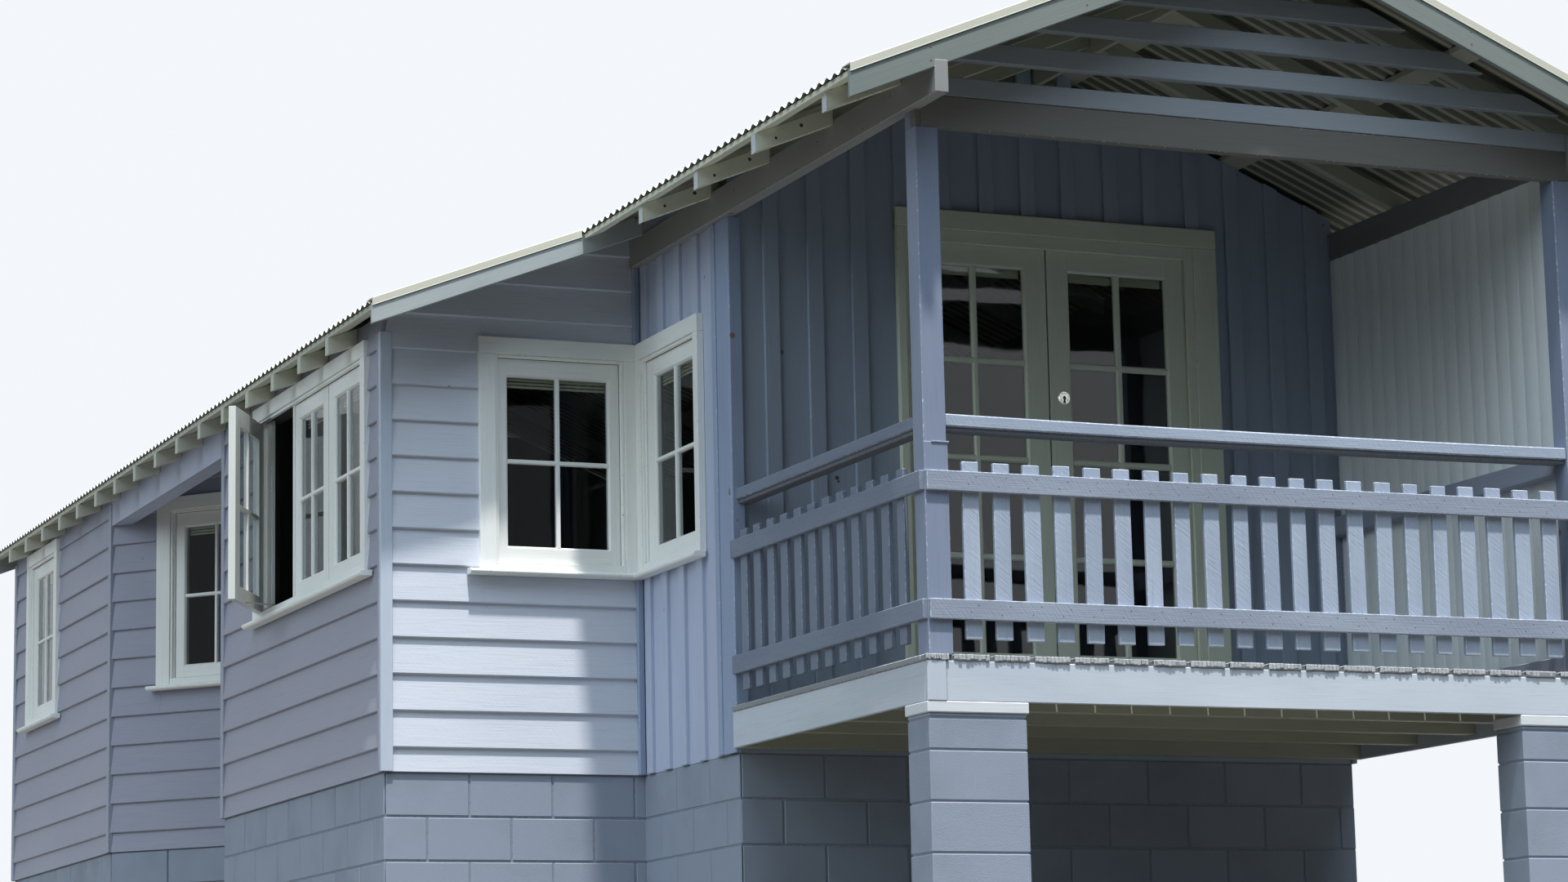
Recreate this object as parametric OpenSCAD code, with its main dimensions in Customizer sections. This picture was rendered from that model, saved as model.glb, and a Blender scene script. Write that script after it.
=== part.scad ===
// Timber beach house: a gabled wing with an open corner veranda, and a lean-to along its left side under the same roof.
// Millimetres, +Z up. The gable end faces -Y. Modules work from the deck's top at the veranda's front left corner, and
// placed() moves each one into the shared frame, with its origin at the middle of the box around the whole house, on the ground.

/* [Plan] */
// Width of the wing over its walls and posts
wing_w = 3110; // [2900:10:3400]
// Depth of the veranda, from the posts' front to the back wall
veranda_d = 1977; // [1700:1:2300]
// How far the wing's left wall runs back to the lean-to
wing_side = 1154; // [1100:1:1300]
// Width of the lean-to
lean_w = 1255; // [1150:5:1400]
// Length of the lean-to's front room along its left wall
room_l = 2800; // [2700:10:3200]
// Length of the covered nook along the left side
nook_l = 2500; // [2300:10:2700]
// Length of the rear room along its left wall
rear_l = 2630; // [2400:10:3200]
// Depth of the nook
nook_d = 935; // [800:5:1000]
// Angle of the nook's slanted wall
nook_deg = 50; // [45:1:55]
// Thickness of the walls
wall_t = 100; // [90:1:120]

/* [Heights] */
// Ground to the deck's top
deck_h = 1200; // [900:10:1400]
// Foot of the wall boards, below the deck's top
skirt_z = 200; // [190:5:250]
// How far the foundation stands back from the wall boards
base_in = 15; // [5:1:30]
// Thickness of the floor
floor_t = 120; // [90:5:150]
// Underside of the beam over the nook
lintel_z = 1690; // [1650:5:1720]
// Thickness of the nook's ceiling lining
lining_t = 12; // [9:1:16]

/* [Roof] */
// Rise per run of the wing's roof
wing_tan = 0.416; // [0.4:0.002:0.43]
// Rise per run of the lean-to's roof
lean_tan = 0.38; // [0.34:0.002:0.41]
// Top of the wing's roof at its eave, above the deck
eave_z = 2272; // [2250:1:2300]
// How far the wing's eave stands out from its side
eave_out = 400; // [350:5:440]
// How far the lean-to's eave stands out from its wall
lean_out = 150; // [120:5:200]
// Thickness of the roof sheets
sheet_t = 18; // [16:1:24]
// Thickness of the roof battens
batten_t = 25; // [20:1:32]
// Width of the roof battens, measured level
batten_w = 90; // [70:5:100]
// Ridge to the middle of the upper battens
batten_up = 175; // [150:5:250]
// Spacing of the wing's battens
batten_pitch = 840; // [780:5:860]
// Eave to the middle of the lowest battens
batten_eave = 60; // [55:1:80]
// Spacing of the lean-to's battens
lean_batten = 790; // [700:5:820]
// Depth of the rafters, measured upright
rafter_h = 80; // [75:1:95]
// Thickness of the rafters
rafter_t = 45; // [40:1:50]
// How far the rafters' tails end inside the eave
tail_in = 7; // [5:1:12]
// Spacing of the wing's rafters
wing_pitch = 680; // [600:5:700]
// Spacing of the lean-to's rafters
lean_pitch = 471; // [440:1:500]
// Front of the lean-to to its first rafter
lean_first = 377; // [300:1:420]
// Thickness of the ridge board
ridge_t = 25; // [20:1:32]
// Depth of the ridge board below the rafters' top
ridge_h = 125; // [110:5:150]
// Thickness of the beam between the two roofs
inner_t = 40; // [35:1:50]
// How far that beam reaches below the rafters
inner_drop = 60; // [40:5:80]
// Half the width of the ridge cap
cap_w = 150; // [120:5:180]
// Thickness of the ridge cap, with its rolled edges
cap_t = 9; // [6:1:12]
// Roof's overhang in front of the posts
front_over = 269; // [220:1:320]
// Roof's overhang in front of the lean-to
lean_over = 352; // [300:1:380]
// Roof's overhang behind the house
rear_over = 200; // [150:5:300]
// Thickness of the barge boards
barge_t = 25; // [20:1:32]
// Depth of the wing's barge boards, measured upright
barge_h = 116; // [100:1:140]
// Depth of the lean-to's barge board, measured upright
lean_barge_h = 96; // [85:1:120]
// Thickness of the bent metal on the roof
flash_t = 6; // [3:1:8]
// Depth of the flashings over the barge boards
flash_h = 32; // [24:1:45]
// Width of the flashings on the sheets
flash_w = 75; // [60:5:100]

/* [Veranda] */
// Side of the square posts
post = 100; // [90:1:120]
// Underside of the side beams
beam_z = 2190; // [2170:5:2200]
// Top of the side beams
beam_top = 2322; // [2316:1:2328]
// Width of the side beams
beam_w = 58; // [50:1:70]
// How far the side beams stand out from the posts
beam_off = 35; // [25:1:40]
// How far the side beams' ends stand out past the barge boards
beam_nose = 3; // [1:1:10]
// Underside of the front beam
front_z = 2124; // [2100:2:2150]
// Depth of the front beam
front_h = 132; // [120:2:140]
// Thickness of the front beam and the slats
front_t = 45; // [38:1:50]
// Height of each gable slat
slat_h = 80; // [70:1:90]
// Spacing of the gable slats
slat_pitch = 156; // [150:1:165]
// Top of the handrail
hand_z = 961; // [920:1:1000]
// Thickness of the handrail
hand_t = 50; // [40:1:60]
// How far the handrail's board keeps inside the post's face
hand_in = 8; // [4:1:12]
// Top of the picket rail
rail_z = 728; // [700:1:760]
// Depth of the picket rails
rail_h = 80; // [70:1:90]
// Thickness of the picket rails
rail_t = 22; // [18:1:26]
// Top of the lower picket rail
low_z = 219; // [200:1:240]
// Width of a picket
picket_w = 82; // [70:1:90]
// Thickness of a picket
picket_t = 20; // [16:1:25]
// Top of the pickets
picket_z = 771; // [750:1:800]
// Foot of the pickets
picket_low = 61; // [40:1:80]
// Pickets along the front
front_n = 21; // [18:1:22]
// Pickets along the left side
side_n = 12; // [10:1:13]
// Post's outer face to the middle of the first picket at the front
front_first = 195; // [180:5:240]
// The same at the far end of the front
front_last = 215; // [180:5:240]
// Post's outer face to the middle of the first picket on the left
side_first = 243; // [200:1:260]
// Back wall to the middle of the last picket on the left
side_last = 95; // [80:5:150]
// Thickness of the right side's ribbed sheet
screen_t = 18; // [14:1:24]
// How far that sheet stands back from the post's outer face
screen_in = 10; // [5:1:20]
// Underside of the rail across that sheet
mid_z = 861; // [830:1:880]
// Depth of that rail
mid_h = 86; // [75:1:95]

/* [Deck] */
// Thickness of the deck boards
board_t = 25; // [19:1:32]
// How far the boards stand out past the fascia
board_out = 12; // [8:1:20]
// Foot of the deck's fascia, below its top
fascia_z = 183; // [170:1:190]
// Spacing of the joists under the deck
joist_pitch = 480; // [420:5:500]
// Foot of the fascia to the foot of the joists
joist_up = 20; // [10:5:40]
// Width of the corner piers
pier_w = 424; // [380:2:460]
// Depth of the corner piers
pier_d = 200; // [180:5:400]
// How far the piers stand out past the posts
pier_out = 16; // [8:1:20]
// Height of the caps on the piers
cap_h = 45; // [35:1:60]
// How far the caps stand out past the piers
cap_out = 8; // [4:1:12]

/* [Windows] */
// Top of the window casings
head_z = 1820; // [1800:1:1830]
// Top of the window openings
open_z = 1740; // [1720:1:1760]
// Foot of the window openings
sill_z = 770; // [760:1:790]
// Top of the window glass
glass_top = 1640; // [1620:1:1650]
// Foot of the window glass
glass_low = 848; // [840:1:860]
// Width of the window casings
casing_w = 76; // [70:1:84]
// How far the casings stand out from the boards
casing_t = 22; // [18:1:25]
// Thickness of a sash
sash_t = 36; // [32:1:40]
// How far a sash stands back from the boards' face
sash_in = 6; // [3:1:12]
// Thickness of the glass
glass_t = 5; // [4:1:6]
// How far the glass reaches into its groove
groove = 8; // [6:1:12]
// Width of a glazing bar
bar_w = 30; // [24:1:36]
// How far the sills stand out from the boards
sill_out = 62; // [50:1:75]
// Thickness of the sills
sill_t = 28; // [22:1:34]
// How far the sills run past the casings
sill_over = 60; // [40:1:64]
// Foot of the window openings to the top of the sills
sill_drop = 36; // [30:1:44]
// Width of the corner window's front light
front_light = 635; // [600:5:660]
// Stile of that light on the left
front_stile = 67; // [60:1:80]
// Stile of that light at the corner
corner_stile = 94; // [84:1:104]
// Width of the corner window's side light
side_light = 671; // [640:1:690]
// Stile of the side light at the corner
side_stile = 170; // [150:1:180]
// Stile of the side light at its other end
side_end = 50; // [44:1:60]
// Width of the corner window's casing on the left
front_casing = 79; // [70:1:84]
// Width of the side light's casing at the veranda's end
side_casing = 54; // [48:1:60]
// How far the side light's sill runs past that casing
side_over = 20; // [10:1:30]
// Width of one casement in the row of three
casement_w = 600; // [560:1:620]
// Stile of a casement
casement_stile = 98; // [86:1:108]
// Width of the row's casings
row_casing = 66; // [60:1:76]
// Nook corner to the row's casing
row_in = 665; // [600:5:700]
// Swing of the open casement
open_deg = 32; // [20:1:50]
// Gap beside the open casement's stiles when it is shut
sash_gap = 2.5; // [2:0.5:4]
// Width of the nook's window
nook_light = 602; // [560:2:620]
// Stile of the nook's window
nook_stile = 92; // [84:1:100]
// Width of the nook window's casings
nook_casing = 95; // [84:1:100]
// How far that window's sill runs past its casings
nook_over = 45; // [30:1:60]
// Lean-to's wall corner to the nook's window along the slanted wall
nook_first = 430; // [400:5:440]
// Width of the rear room's window
rear_light = 700; // [660:5:740]
// Stile of the rear room's window
rear_stile = 110; // [95:1:120]
// Rear corner to the casing of the rear room's window
rear_in = 416; // [350:1:500]

/* [Doors] */
// Left side of the wing to the hinge edge of the left leaf
door_x = 853; // [840:1:880]
// Width of a door leaf
leaf_w = 720; // [700:1:724]
// Height of a door leaf
leaf_h = 2118; // [2100:1:2122]
// Foot of a door leaf above the deck
leaf_z = 32; // [25:1:40]
// Thickness of a door leaf
leaf_t = 40; // [36:1:44]
// Stile of a leaf at its hinges
hinge_stile = 105; // [95:1:115]
// Stile of a leaf where the two meet
meet_stile = 114; // [104:1:124]
// Top rail of a leaf
top_rail = 105; // [95:1:120]
// Bottom rail of a leaf
low_rail = 238; // [200:1:260]
// Width of the casing left of the doors
left_casing = 48; // [40:1:60]
// Width of the casing right of the doors
right_casing = 167; // [150:1:180]
// Width of the casing over the doors
door_head = 150; // [130:1:150]
// How far the casings lap over the leaves' edges
door_lap = 8; // [6:1:12]
// Thickness of the door frame's lining
jamb = 30; // [25:1:36]
// Radius of a hinge knuckle
knuckle_r = 6; // [5:0.5:7]
// Length of a hinge
hinge_l = 100; // [90:1:120]
// End of a leaf to its nearest hinge
hinge_in = 180; // [150:5:220]
// Width of a hinge's strap on the leaf
strap_w = 30; // [24:1:40]
// Thickness of that strap
strap_t = 3; // [2:0.5:3]
// Radius of the lock's round plate
lock_r = 30; // [26:0.5:34]
// Middle of the lock above the leaf's foot
lock_z = 1423; // [1380:1:1450]
// Meeting edge of the right leaf to the middle of the lock
lock_in = 69; // [60:1:76]

/* [Clearances] */
// Gap between pieces that rest on each other along a slope or a joint
seat = 0.3; // [0.2:0.05:0.5]
// Gap around the two door leaves
leaf_gap = 6; // [5.5:0.5:7]
// Gap between the two leaves
meet_gap = 8; // [8:0.5:10]
// Running gap at a hinge knuckle
pin_gap = 1; // [0.8:0.1:1.5]

/* [Hidden] */
$fn = 32;

wall_blue = "lightsteelblue";
trim_white = "ivory";

// Places along the house, from the posts' front.
lean_y = veranda_d + wing_side;
nook_y0 = lean_y + room_l;
nook_y1 = nook_y0 + nook_l;
house_y = nook_y1 + rear_l;
roof_y0 = -front_over;
roof_y1 = house_y + rear_over;
lean_roof_y = lean_y - lean_over;
row_y = nook_y0 - row_in;
rear_window_y = house_y - rear_in;

// Places across the house, from the left post's outer face.
nook_x = -lean_w + nook_d;
ridge_x = wing_w / 2;
eave_x = -eave_out;
right_x = wing_w + eave_out;
lean_x = -lean_w - lean_out;
wall_in = wall_t - lean_w;
beam_in = beam_w - beam_off;
inner_x = beam_in - seat;

// Levels measured down from the roof's top line.
batten_top = -sheet_t - seat;
batten_low = batten_top - batten_t;
rafter_top = batten_low - seat;
rafter_low = rafter_top - rafter_h;

// The door frame's clear opening, and the top of the window sills.
door_x1 = door_x - leaf_gap;
door_x2 = door_x + 2 * leaf_w + meet_gap + leaf_gap;
door_z = leaf_z + leaf_h + leaf_gap;
sill_top = sill_z - sill_drop;

// Reach of the shapes that cut others, and how far a cut runs past the face that it opens.
far = 14000;
past = 3000;
cut = 1;

// Height across the house of the roof's top, and of the lean-to's slope run on under the wing's eave.
function wing_z(x) = eave_z + wing_tan * (min(x, 2 * ridge_x - x) + eave_out);
function lean_z(x) = eave_z + lean_tan * (x + eave_out);
function roof_z(x) = x < eave_x ? lean_z(x) : wing_z(x);

// Place along Y of the nook's slanted wall, at x and at a distance in from its outer face.
function slant_y(x, in) = nook_y1 + (in - (x + lean_w) * sin(nook_deg)) / cos(nook_deg);

// Top of the casings that stand under the lean-to's rafters.
eave_head = min(head_z, roof_z(-lean_w - casing_t) + rafter_low - seat);

// The house's outline, moved in.
function plan(in) = [
  [in, veranda_d + in], [in, lean_y + in], [in - lean_w, lean_y + in], [in - lean_w, nook_y0 - in], [nook_x + in, nook_y0 - in],
  [nook_x + in, slant_y(nook_x + in, in)], [in - lean_w, slant_y(in - lean_w, in)], [in - lean_w, house_y - in],
  [wing_w - in, house_y - in], [wing_w - in, veranda_d + in]];

// The house's left limit: the lean-to's eave, or the open casement's free edge.
sash_w = casement_w - 2 * sash_gap;
house_x0 = min(lean_x, -lean_w - casing_t - sash_w * sin(open_deg));

// Moves the house's own frame to the middle of its box, on the ground.
module placed() translate([-(house_x0 + right_x) / 2, -(roof_y0 + roof_y1) / 2, deck_h]) children();

// A box between two corners.
module box(a, b) translate(a) cube([b[0] - a[0], b[1] - a[1], b[2] - a[2]]);

// A profile in X and Z, run from y0 to y1.
module along_y(points, y0, y1) translate([0, y1, 0]) rotate([90, 0, 0]) linear_extrude(y1 - y0) polygon(points);

// A band that follows the roof across the house, from a to b over its top line, over the given places.
module roof_band(xs, a, b, y0, y1) along_y(concat(
  [for (x = xs) [x, roof_z(x) + a]],
  [for (i = [len(xs) - 1 : -1 : 0]) [xs[i], roof_z(xs[i]) + b]]), y0, y1);

// All that is above a line that follows the roof.
module above_roof(a) along_y(concat(
  [for (x = [-past, eave_x, ridge_x, wing_w + past]) [x, roof_z(x) + a]], [[wing_w + past, 2 * past], [-past, 2 * past]]), -past, far);

// Rafters in pairs over the wing. The tails show on both sides of the veranda, and behind it the left ones stop on a beam.
// Where they cut a wall, over takes the cut out through the wall's top.
front_rafters = 4;
back_rafters = floor((house_y - wall_t - rafter_t - front_t) / wing_pitch);
module rafter(xs, y, over = 0) roof_band(xs, rafter_low, rafter_top + over, y, y + rafter_t);
module wing_rafters(over = 0) for (i = [0 : back_rafters]) let (y = front_t + i * wing_pitch) {
  rafter([i < front_rafters ? eave_x + tail_in : inner_x + inner_t, ridge_x - ridge_t / 2], y, over);
  rafter([ridge_x + ridge_t / 2, right_x - tail_in], y, over);
}

lean_rafter_y = lean_y + lean_first;
lean_count = floor((house_y - wall_t - rafter_t - lean_rafter_y) / lean_pitch);
module lean_rafters(over = 0) for (i = [0 : lean_count])
  rafter([lean_x + tail_in, eave_x, inner_x], lean_rafter_y + i * lean_pitch, over);

// The beams on the posts. The left one runs on over the wing's left wall.
module side_beam(x, y) box([x, roof_y0 - beam_nose, beam_z], [x + beam_w, y, beam_top]);
module left_beam() side_beam(-beam_off, lean_y);
module right_beam() side_beam(wing_w - beam_in, veranda_d);

module ridge_beam(over = 0) box([ridge_x - ridge_t / 2, front_t, roof_z(ridge_x) + rafter_top - ridge_h],
  [ridge_x + ridge_t / 2, house_y - wall_t, roof_z(ridge_x - ridge_t / 2) + rafter_top + over]);

// A roof batten in the middle of which the roof is at x.
module batten(x, y0, y1) roof_band([x - batten_w / 2, x + batten_w / 2], batten_low, batten_top, y0, y1);
module wing_battens() for (x = [batten_up, batten_up + batten_pitch, ridge_x - eave_x - batten_eave], side = [-1, 1])
  batten(ridge_x + side * x, roof_y0 + barge_t, roof_y1 - barge_t);

// A wall over a plan outline, under the roof and round the rafters and beams that rest in it.
module wall(points) difference() {
  translate([0, 0, -skirt_z]) linear_extrude(past) polygon(points);
  above_roof(rafter_top);
  wing_rafters(ridge_h);
  lean_rafters(ridge_h);
  left_beam();
  ridge_beam(ridge_h);
}

// Window frames: x runs to the right as seen from outside, y runs inward from the boards' face.
module on_front() translate([-casing_w - front_light, lean_y, 0]) children();
module on_side() translate([0, lean_y - casing_w, 0]) rotate([0, 0, -90]) children();
module on_row() translate([-lean_w, row_y - row_casing, 0]) rotate([0, 0, -90]) children();
module on_nook() translate([-lean_w, nook_y1, 0]) rotate([0, 0, -nook_deg]) translate([nook_first, 0, 0]) children();
module on_rear() translate([-lean_w, rear_window_y - casing_w, 0]) rotate([0, 0, -90]) children();

// An opening of width w, with some room round it where the wall is slanted.
module hole(w, room = 0) box([-room, -wall_t, sill_z - room], [w + room, 2 * wall_t, open_z + room]);

// The glass of a sash of width w, let into its frame and bars.
module pane(w, left, right) translate([left - groove, sash_in + (sash_t - glass_t) / 2, glass_low - groove])
  cube([w - left - right + 2 * groove, glass_t, glass_top - glass_low + 2 * groove]);

// A sash of width w with glazing bars, two panes across and two up.
module sash(w, left, right) difference() {
  pane_w = (w - left - right - bar_w) / 2;
  pane_h = (glass_top - glass_low - bar_w) / 2;
  translate([0, sash_in, sill_z]) cube([w, sash_t, open_z - sill_z]);
  for (i = [0, 1], j = [0, 1])
    translate([left + i * (pane_w + bar_w), 0, glass_low + j * (pane_h + bar_w)]) cube([pane_w, wall_t, pane_h]);
  pane(w, left, right);
}

// Casing boards of widths a and b on the two sides of an opening of width w, standing on the sill, with the head over them.
module casing(w, a, b, top = head_z) {
  box([-a, -casing_t, sill_top], [0, 0, top]);
  box([w, -casing_t, sill_top], [w + b, 0, top]);
  box([0, -casing_t, open_z], [w, 0, top]);
  box([0, -casing_t, sill_top], [w, 0, sill_z]);
}

// A sill board, its nose standing out under the casings.
module sill(x0, x1) box([x0, -sill_out, sill_top - sill_t], [x1, 0, sill_top]);

/* Base */
// One straight length of a ring of walls between two outlines, clear of its neighbours by the seat.
function toward(a, b) = a + seat * (b - a) / norm(b - a);
module ring_part(out, in, i) let (j = (i + 1) % len(out))
  polygon([toward(out[i], out[j]), toward(out[j], out[i]), toward(in[j], in[i]), toward(in[i], in[j])]);

module foundation() color(wall_blue) placed() translate([0, 0, -deck_h]) linear_extrude(deck_h - skirt_z)
  for (i = [0 : len(plan(0)) - 1]) ring_part(plan(base_in), plan(wall_t), i);

// The floor, in four parts that meet along the walls' lines.
module house_floor() color("burlywood") placed() translate([0, 0, -floor_t]) linear_extrude(floor_t) difference() {
  polygon(plan(wall_t));
  translate([wall_t - seat, 0]) square([seat, far]);
  for (y = [nook_y0 - wall_t - seat, slant_y(nook_x + wall_t, wall_t)]) translate([-past, y]) square([past + wall_t, seat]);
}

module pier(x) {
  box([x, -pier_out, -deck_h], [x + pier_w, pier_d - pier_out, -fascia_z - cap_h]);
  box([x - cap_out, -pier_out - cap_out, -fascia_z - cap_h], [x + pier_w + cap_out, pier_d - pier_out + cap_out, -fascia_z]);
}

module piers() color(wall_blue) placed() {
  pier(-pier_out);
  pier(wing_w + pier_out - pier_w);
}

/* Veranda */
module deck_frame() color("slategray") placed() {
  difference() {
    box([-rail_t, -rail_t, -fascia_z], [wing_w + rail_t, veranda_d, -board_t]);
    box([0, 0, -fascia_z - cut], [wing_w, veranda_d - rafter_t, 0]);
  }
  for (y = [0 : joist_pitch : veranda_d - 2 * rafter_t]) box([0, y, -fascia_z + joist_up], [wing_w, y + rafter_t, -board_t]);
}

module deck() color("silver") placed()
  box([-rail_t - board_out / 2, -rail_t - board_out, -board_t], [wing_w + rail_t + board_out / 2, veranda_d, 0]);

// A post, notched at its head for the front beam.
module veranda_post(x) difference() {
  box([x, 0, 0], [x + post, post, beam_z]);
  box([x - cut, -cut, front_z], [x + post + cut, front_t, beam_z + cut]);
}

module posts() color(wall_blue) placed() {
  veranda_post(0);
  veranda_post(wing_w - post);
}

// A row of pickets between two middles along x.
module pickets(first, last, n) for (i = [0 : n - 1])
  translate([first + i * (last - first) / (n - 1) - picket_w / 2, 0, picket_low]) cube([picket_w, picket_t, picket_z - picket_low]);

module rail_front() color("white") placed() {
  pickets(front_first, wing_w - front_last, front_n);
  for (z = [rail_z, low_z]) box([0, -rail_t, z - rail_h], [wing_w, 0, z]);
  box([post, -hand_in, hand_z - hand_t], [wing_w - post, post - hand_in, hand_z]);
}

module rail_left() color(wall_blue) placed() {
  translate([picket_t, 0, 0]) rotate([0, 0, 90]) pickets(side_first, veranda_d - side_last, side_n);
  for (z = [rail_z, low_z]) box([-rail_t, 0, z - rail_h], [0, veranda_d, z]);
  box([0, post, hand_z - hand_t], [post - hand_in, veranda_d, hand_z]);
}

// The veranda's right side: ribbed sheet outside a middle and a lower rail.
module screen_right() color("whitesmoke") placed() {
  sheet_x = wing_w - screen_in - screen_t;
  box([sheet_x, post, 0], [wing_w - screen_in, veranda_d, beam_z]);
  box([wing_w - post, post, mid_z], [sheet_x, veranda_d, mid_z + mid_h]);
  box([wing_w - post, post, 0], [sheet_x, veranda_d, mid_h]);
}

module side_beams() color(wall_blue) placed() {
  left_beam();
  right_beam();
}

// The front beam and the slats over it, let in between the side beams.
module beam_front() color(wall_blue) placed() difference() {
  box([0, 0, front_z], [wing_w, front_t, front_z + front_h]);
  left_beam();
  right_beam();
}

module gable_slats() color(wall_blue) placed() difference() {
  for (i = [0 : 4]) let (z = front_z + front_h + i * slat_pitch)
    box([-eave_out, 0, i == 0 ? z + seat : z], [right_x, front_t, z + slat_h]);
  for (x = [-past, wing_w - beam_in]) box([x, -cut, 0], [x + past + beam_in, front_t + cut, beam_top]);
  above_roof(rafter_top);
}

/* Roof */
module rafters_wing() color("beige") placed() difference() {
  wing_rafters();
  left_beam();
  right_beam();
}

module rafters_lean() color("beige") placed() lean_rafters();
module ridge_board() color("beige") placed() ridge_beam();

module beam_inner() color("beige") placed()
  roof_band([inner_x, inner_x + inner_t], rafter_low - inner_drop, rafter_top, lean_y + wall_t, house_y - wall_t);

module roof_battens() color("beige") placed() {
  wing_battens();
  for (x = [0, lean_batten]) batten(lean_x + batten_eave + x, lean_roof_y + barge_t, roof_y1 - barge_t);
}

module roof_left() color("gainsboro") placed() roof_band([eave_x, ridge_x], -sheet_t, 0, roof_y0, roof_y1);
module roof_right() color("gainsboro") placed() roof_band([ridge_x, right_x], -sheet_t, 0, roof_y0, roof_y1);
module roof_lean() color("gainsboro") placed() roof_band([lean_x, eave_x], -sheet_t, 0, lean_roof_y, roof_y1);

module ridge_cap() color("gainsboro") placed()
  roof_band([ridge_x - cap_w, ridge_x, ridge_x + cap_w], 0, cap_t, roof_y0 + flash_w, roof_y1 - flash_w);

// Barge boards with plumb joints at the ridge and at the change of slope, notched round the side beams.
module barge(x0, x1, y) roof_band([x0, x1 - seat], batten_top - barge_h, batten_top, y, y + barge_t);
module barge_boards() color(trim_white) placed() {
  difference() {
    union() {
      barge(eave_x, ridge_x, roof_y0);
      barge(ridge_x, right_x, roof_y0);
      along_y([for (p = [[lean_x, 0], [0, 0], [0, 1], [lean_x, 1]])
        [p[0], lean_z(p[0]) + batten_top - p[1] * lean_barge_h]], lean_roof_y, lean_roof_y + barge_t);
    }
    left_beam();
    right_beam();
    translate([0, lean_roof_y, 0]) roof_band([eave_x, 0], batten_low - seat, far, -cut, barge_t + cut);
  }
  barge(lean_x, eave_x, roof_y1 - barge_t);
  barge(eave_x, ridge_x, roof_y1 - barge_t);
  barge(ridge_x, right_x, roof_y1 - barge_t);
}

// Bent metal over a barge board's top and the edge of the sheets, on the side s of the roof's end at y.
module flashing(xs, y, s) {
  roof_band(xs, -flash_h, flash_t, s > 0 ? y - flash_t : y, s > 0 ? y : y + flash_t);
  roof_band(xs, 0, flash_t, s > 0 ? y : y - flash_w, s > 0 ? y + flash_w : y);
}

module flashings() color("white") placed() {
  flashing([eave_x, ridge_x, right_x], roof_y0, 1);
  flashing([lean_x, eave_x - seat], lean_roof_y, 1);
  flashing([lean_x, eave_x, ridge_x, right_x], roof_y1, -1);
}

/* Walls */
// A wall parallel to the gable end, and one along the house.
module wall_across(x0, x1, y) wall([[x0, y], [x1, y], [x1, y + wall_t], [x0, y + wall_t]]);
module wall_along(x, y0, y1) wall([[x, y0], [x + wall_t, y0], [x + wall_t, y1], [x, y1]]);

module wall_door_left() color(wall_blue) placed() wall_across(0, door_x1 - jamb, veranda_d);
module wall_door_right() color(wall_blue) placed() wall_across(door_x2 + jamb, wing_w, veranda_d);

module wall_door_over() color(wall_blue) placed() difference() {
  wall_across(door_x1 - jamb, door_x2 + jamb, veranda_d);
  box([door_x1 - jamb - cut, 0, 0], [door_x2 + jamb + cut, past, door_z + jamb]);
}

module wall_wing_left() color(wall_blue) placed() difference() {
  wall_along(0, veranda_d + wall_t, lean_y + wall_t);
  on_side() hole(side_light);
}

module wall_lean_front() color(wall_blue) placed() difference() {
  wall_across(-lean_w, 0, lean_y);
  on_front() hole(front_light);
}

module wall_lean_left() color(wall_blue) placed() difference() {
  wall_along(-lean_w, lean_y + wall_t, nook_y0);
  on_row() hole(3 * casement_w);
}

// The three walls round the nook, mitred where the slanted one meets the back.
module wall_nook() color(wall_blue) placed() difference() {
  union() {
    wall([[wall_in, nook_y0 - wall_t], [nook_x - seat, nook_y0 - wall_t], [nook_x - seat, nook_y0], [wall_in, nook_y0]]);
    for (i = [4, 5]) wall_ring(i);
  }
  on_nook() hole(nook_light, seat);
}

// One straight length of the walls' ring, with plumb ends where the plan turns.
module wall_ring(i) let (out = plan(0), in = plan(wall_t))
  wall(i == 4 ? [[nook_x, nook_y0 - wall_t], [nook_x + wall_t, nook_y0 - wall_t], toward(in[5], in[4]), toward(out[5], out[4])]
    : [toward(out[5], out[6]), toward(in[5], in[6]), in[6], out[6]]);

// The beam over the nook's open side, and the lining under the nook's rafters.
module nook_lintel() color(wall_blue) placed() {
  difference() {
    wall([[-lean_w, nook_y0], [wall_in, nook_y0], [wall_in, slant_y(wall_in, 0)], [-lean_w, nook_y1]]);
    box([-past, 0, -past], [0, far, lintel_z]);
  }
  intersection() {
    linear_extrude(past) polygon([[wall_in, nook_y0], [nook_x, nook_y0], [nook_x, slant_y(nook_x, 0)], [wall_in, slant_y(wall_in, 0)]]);
    roof_band([lean_x, eave_x, 0], rafter_low - lining_t, rafter_low - seat, 0, far);
  }
}

module wall_rear_left() color(wall_blue) placed() difference() {
  wall([[-lean_w, nook_y1], [wall_in, slant_y(wall_in, wall_t)], [wall_in, house_y - wall_t], [-lean_w, house_y - wall_t]]);
  on_rear() hole(rear_light);
}

module wall_rear() color(wall_blue) placed() wall_across(-lean_w, wing_w, house_y - wall_t);
module wall_right() color(wall_blue) placed() wall_along(wing_w - wall_t, veranda_d + wall_t, house_y - wall_t);

/* Doors */
// The leaves open inward. Their outer faces stand just behind the casings, which lap over their edges.
leaf_y = veranda_d + leaf_gap;
pin_x = knuckle_r + pin_gap - leaf_gap;
pin_y = leaf_t + knuckle_r + pin_gap;
hinge_zs = [hinge_in, (leaf_h - hinge_l) / 2, leaf_h - hinge_in - hinge_l];
knuckle_l = hinge_l / 3;

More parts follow.
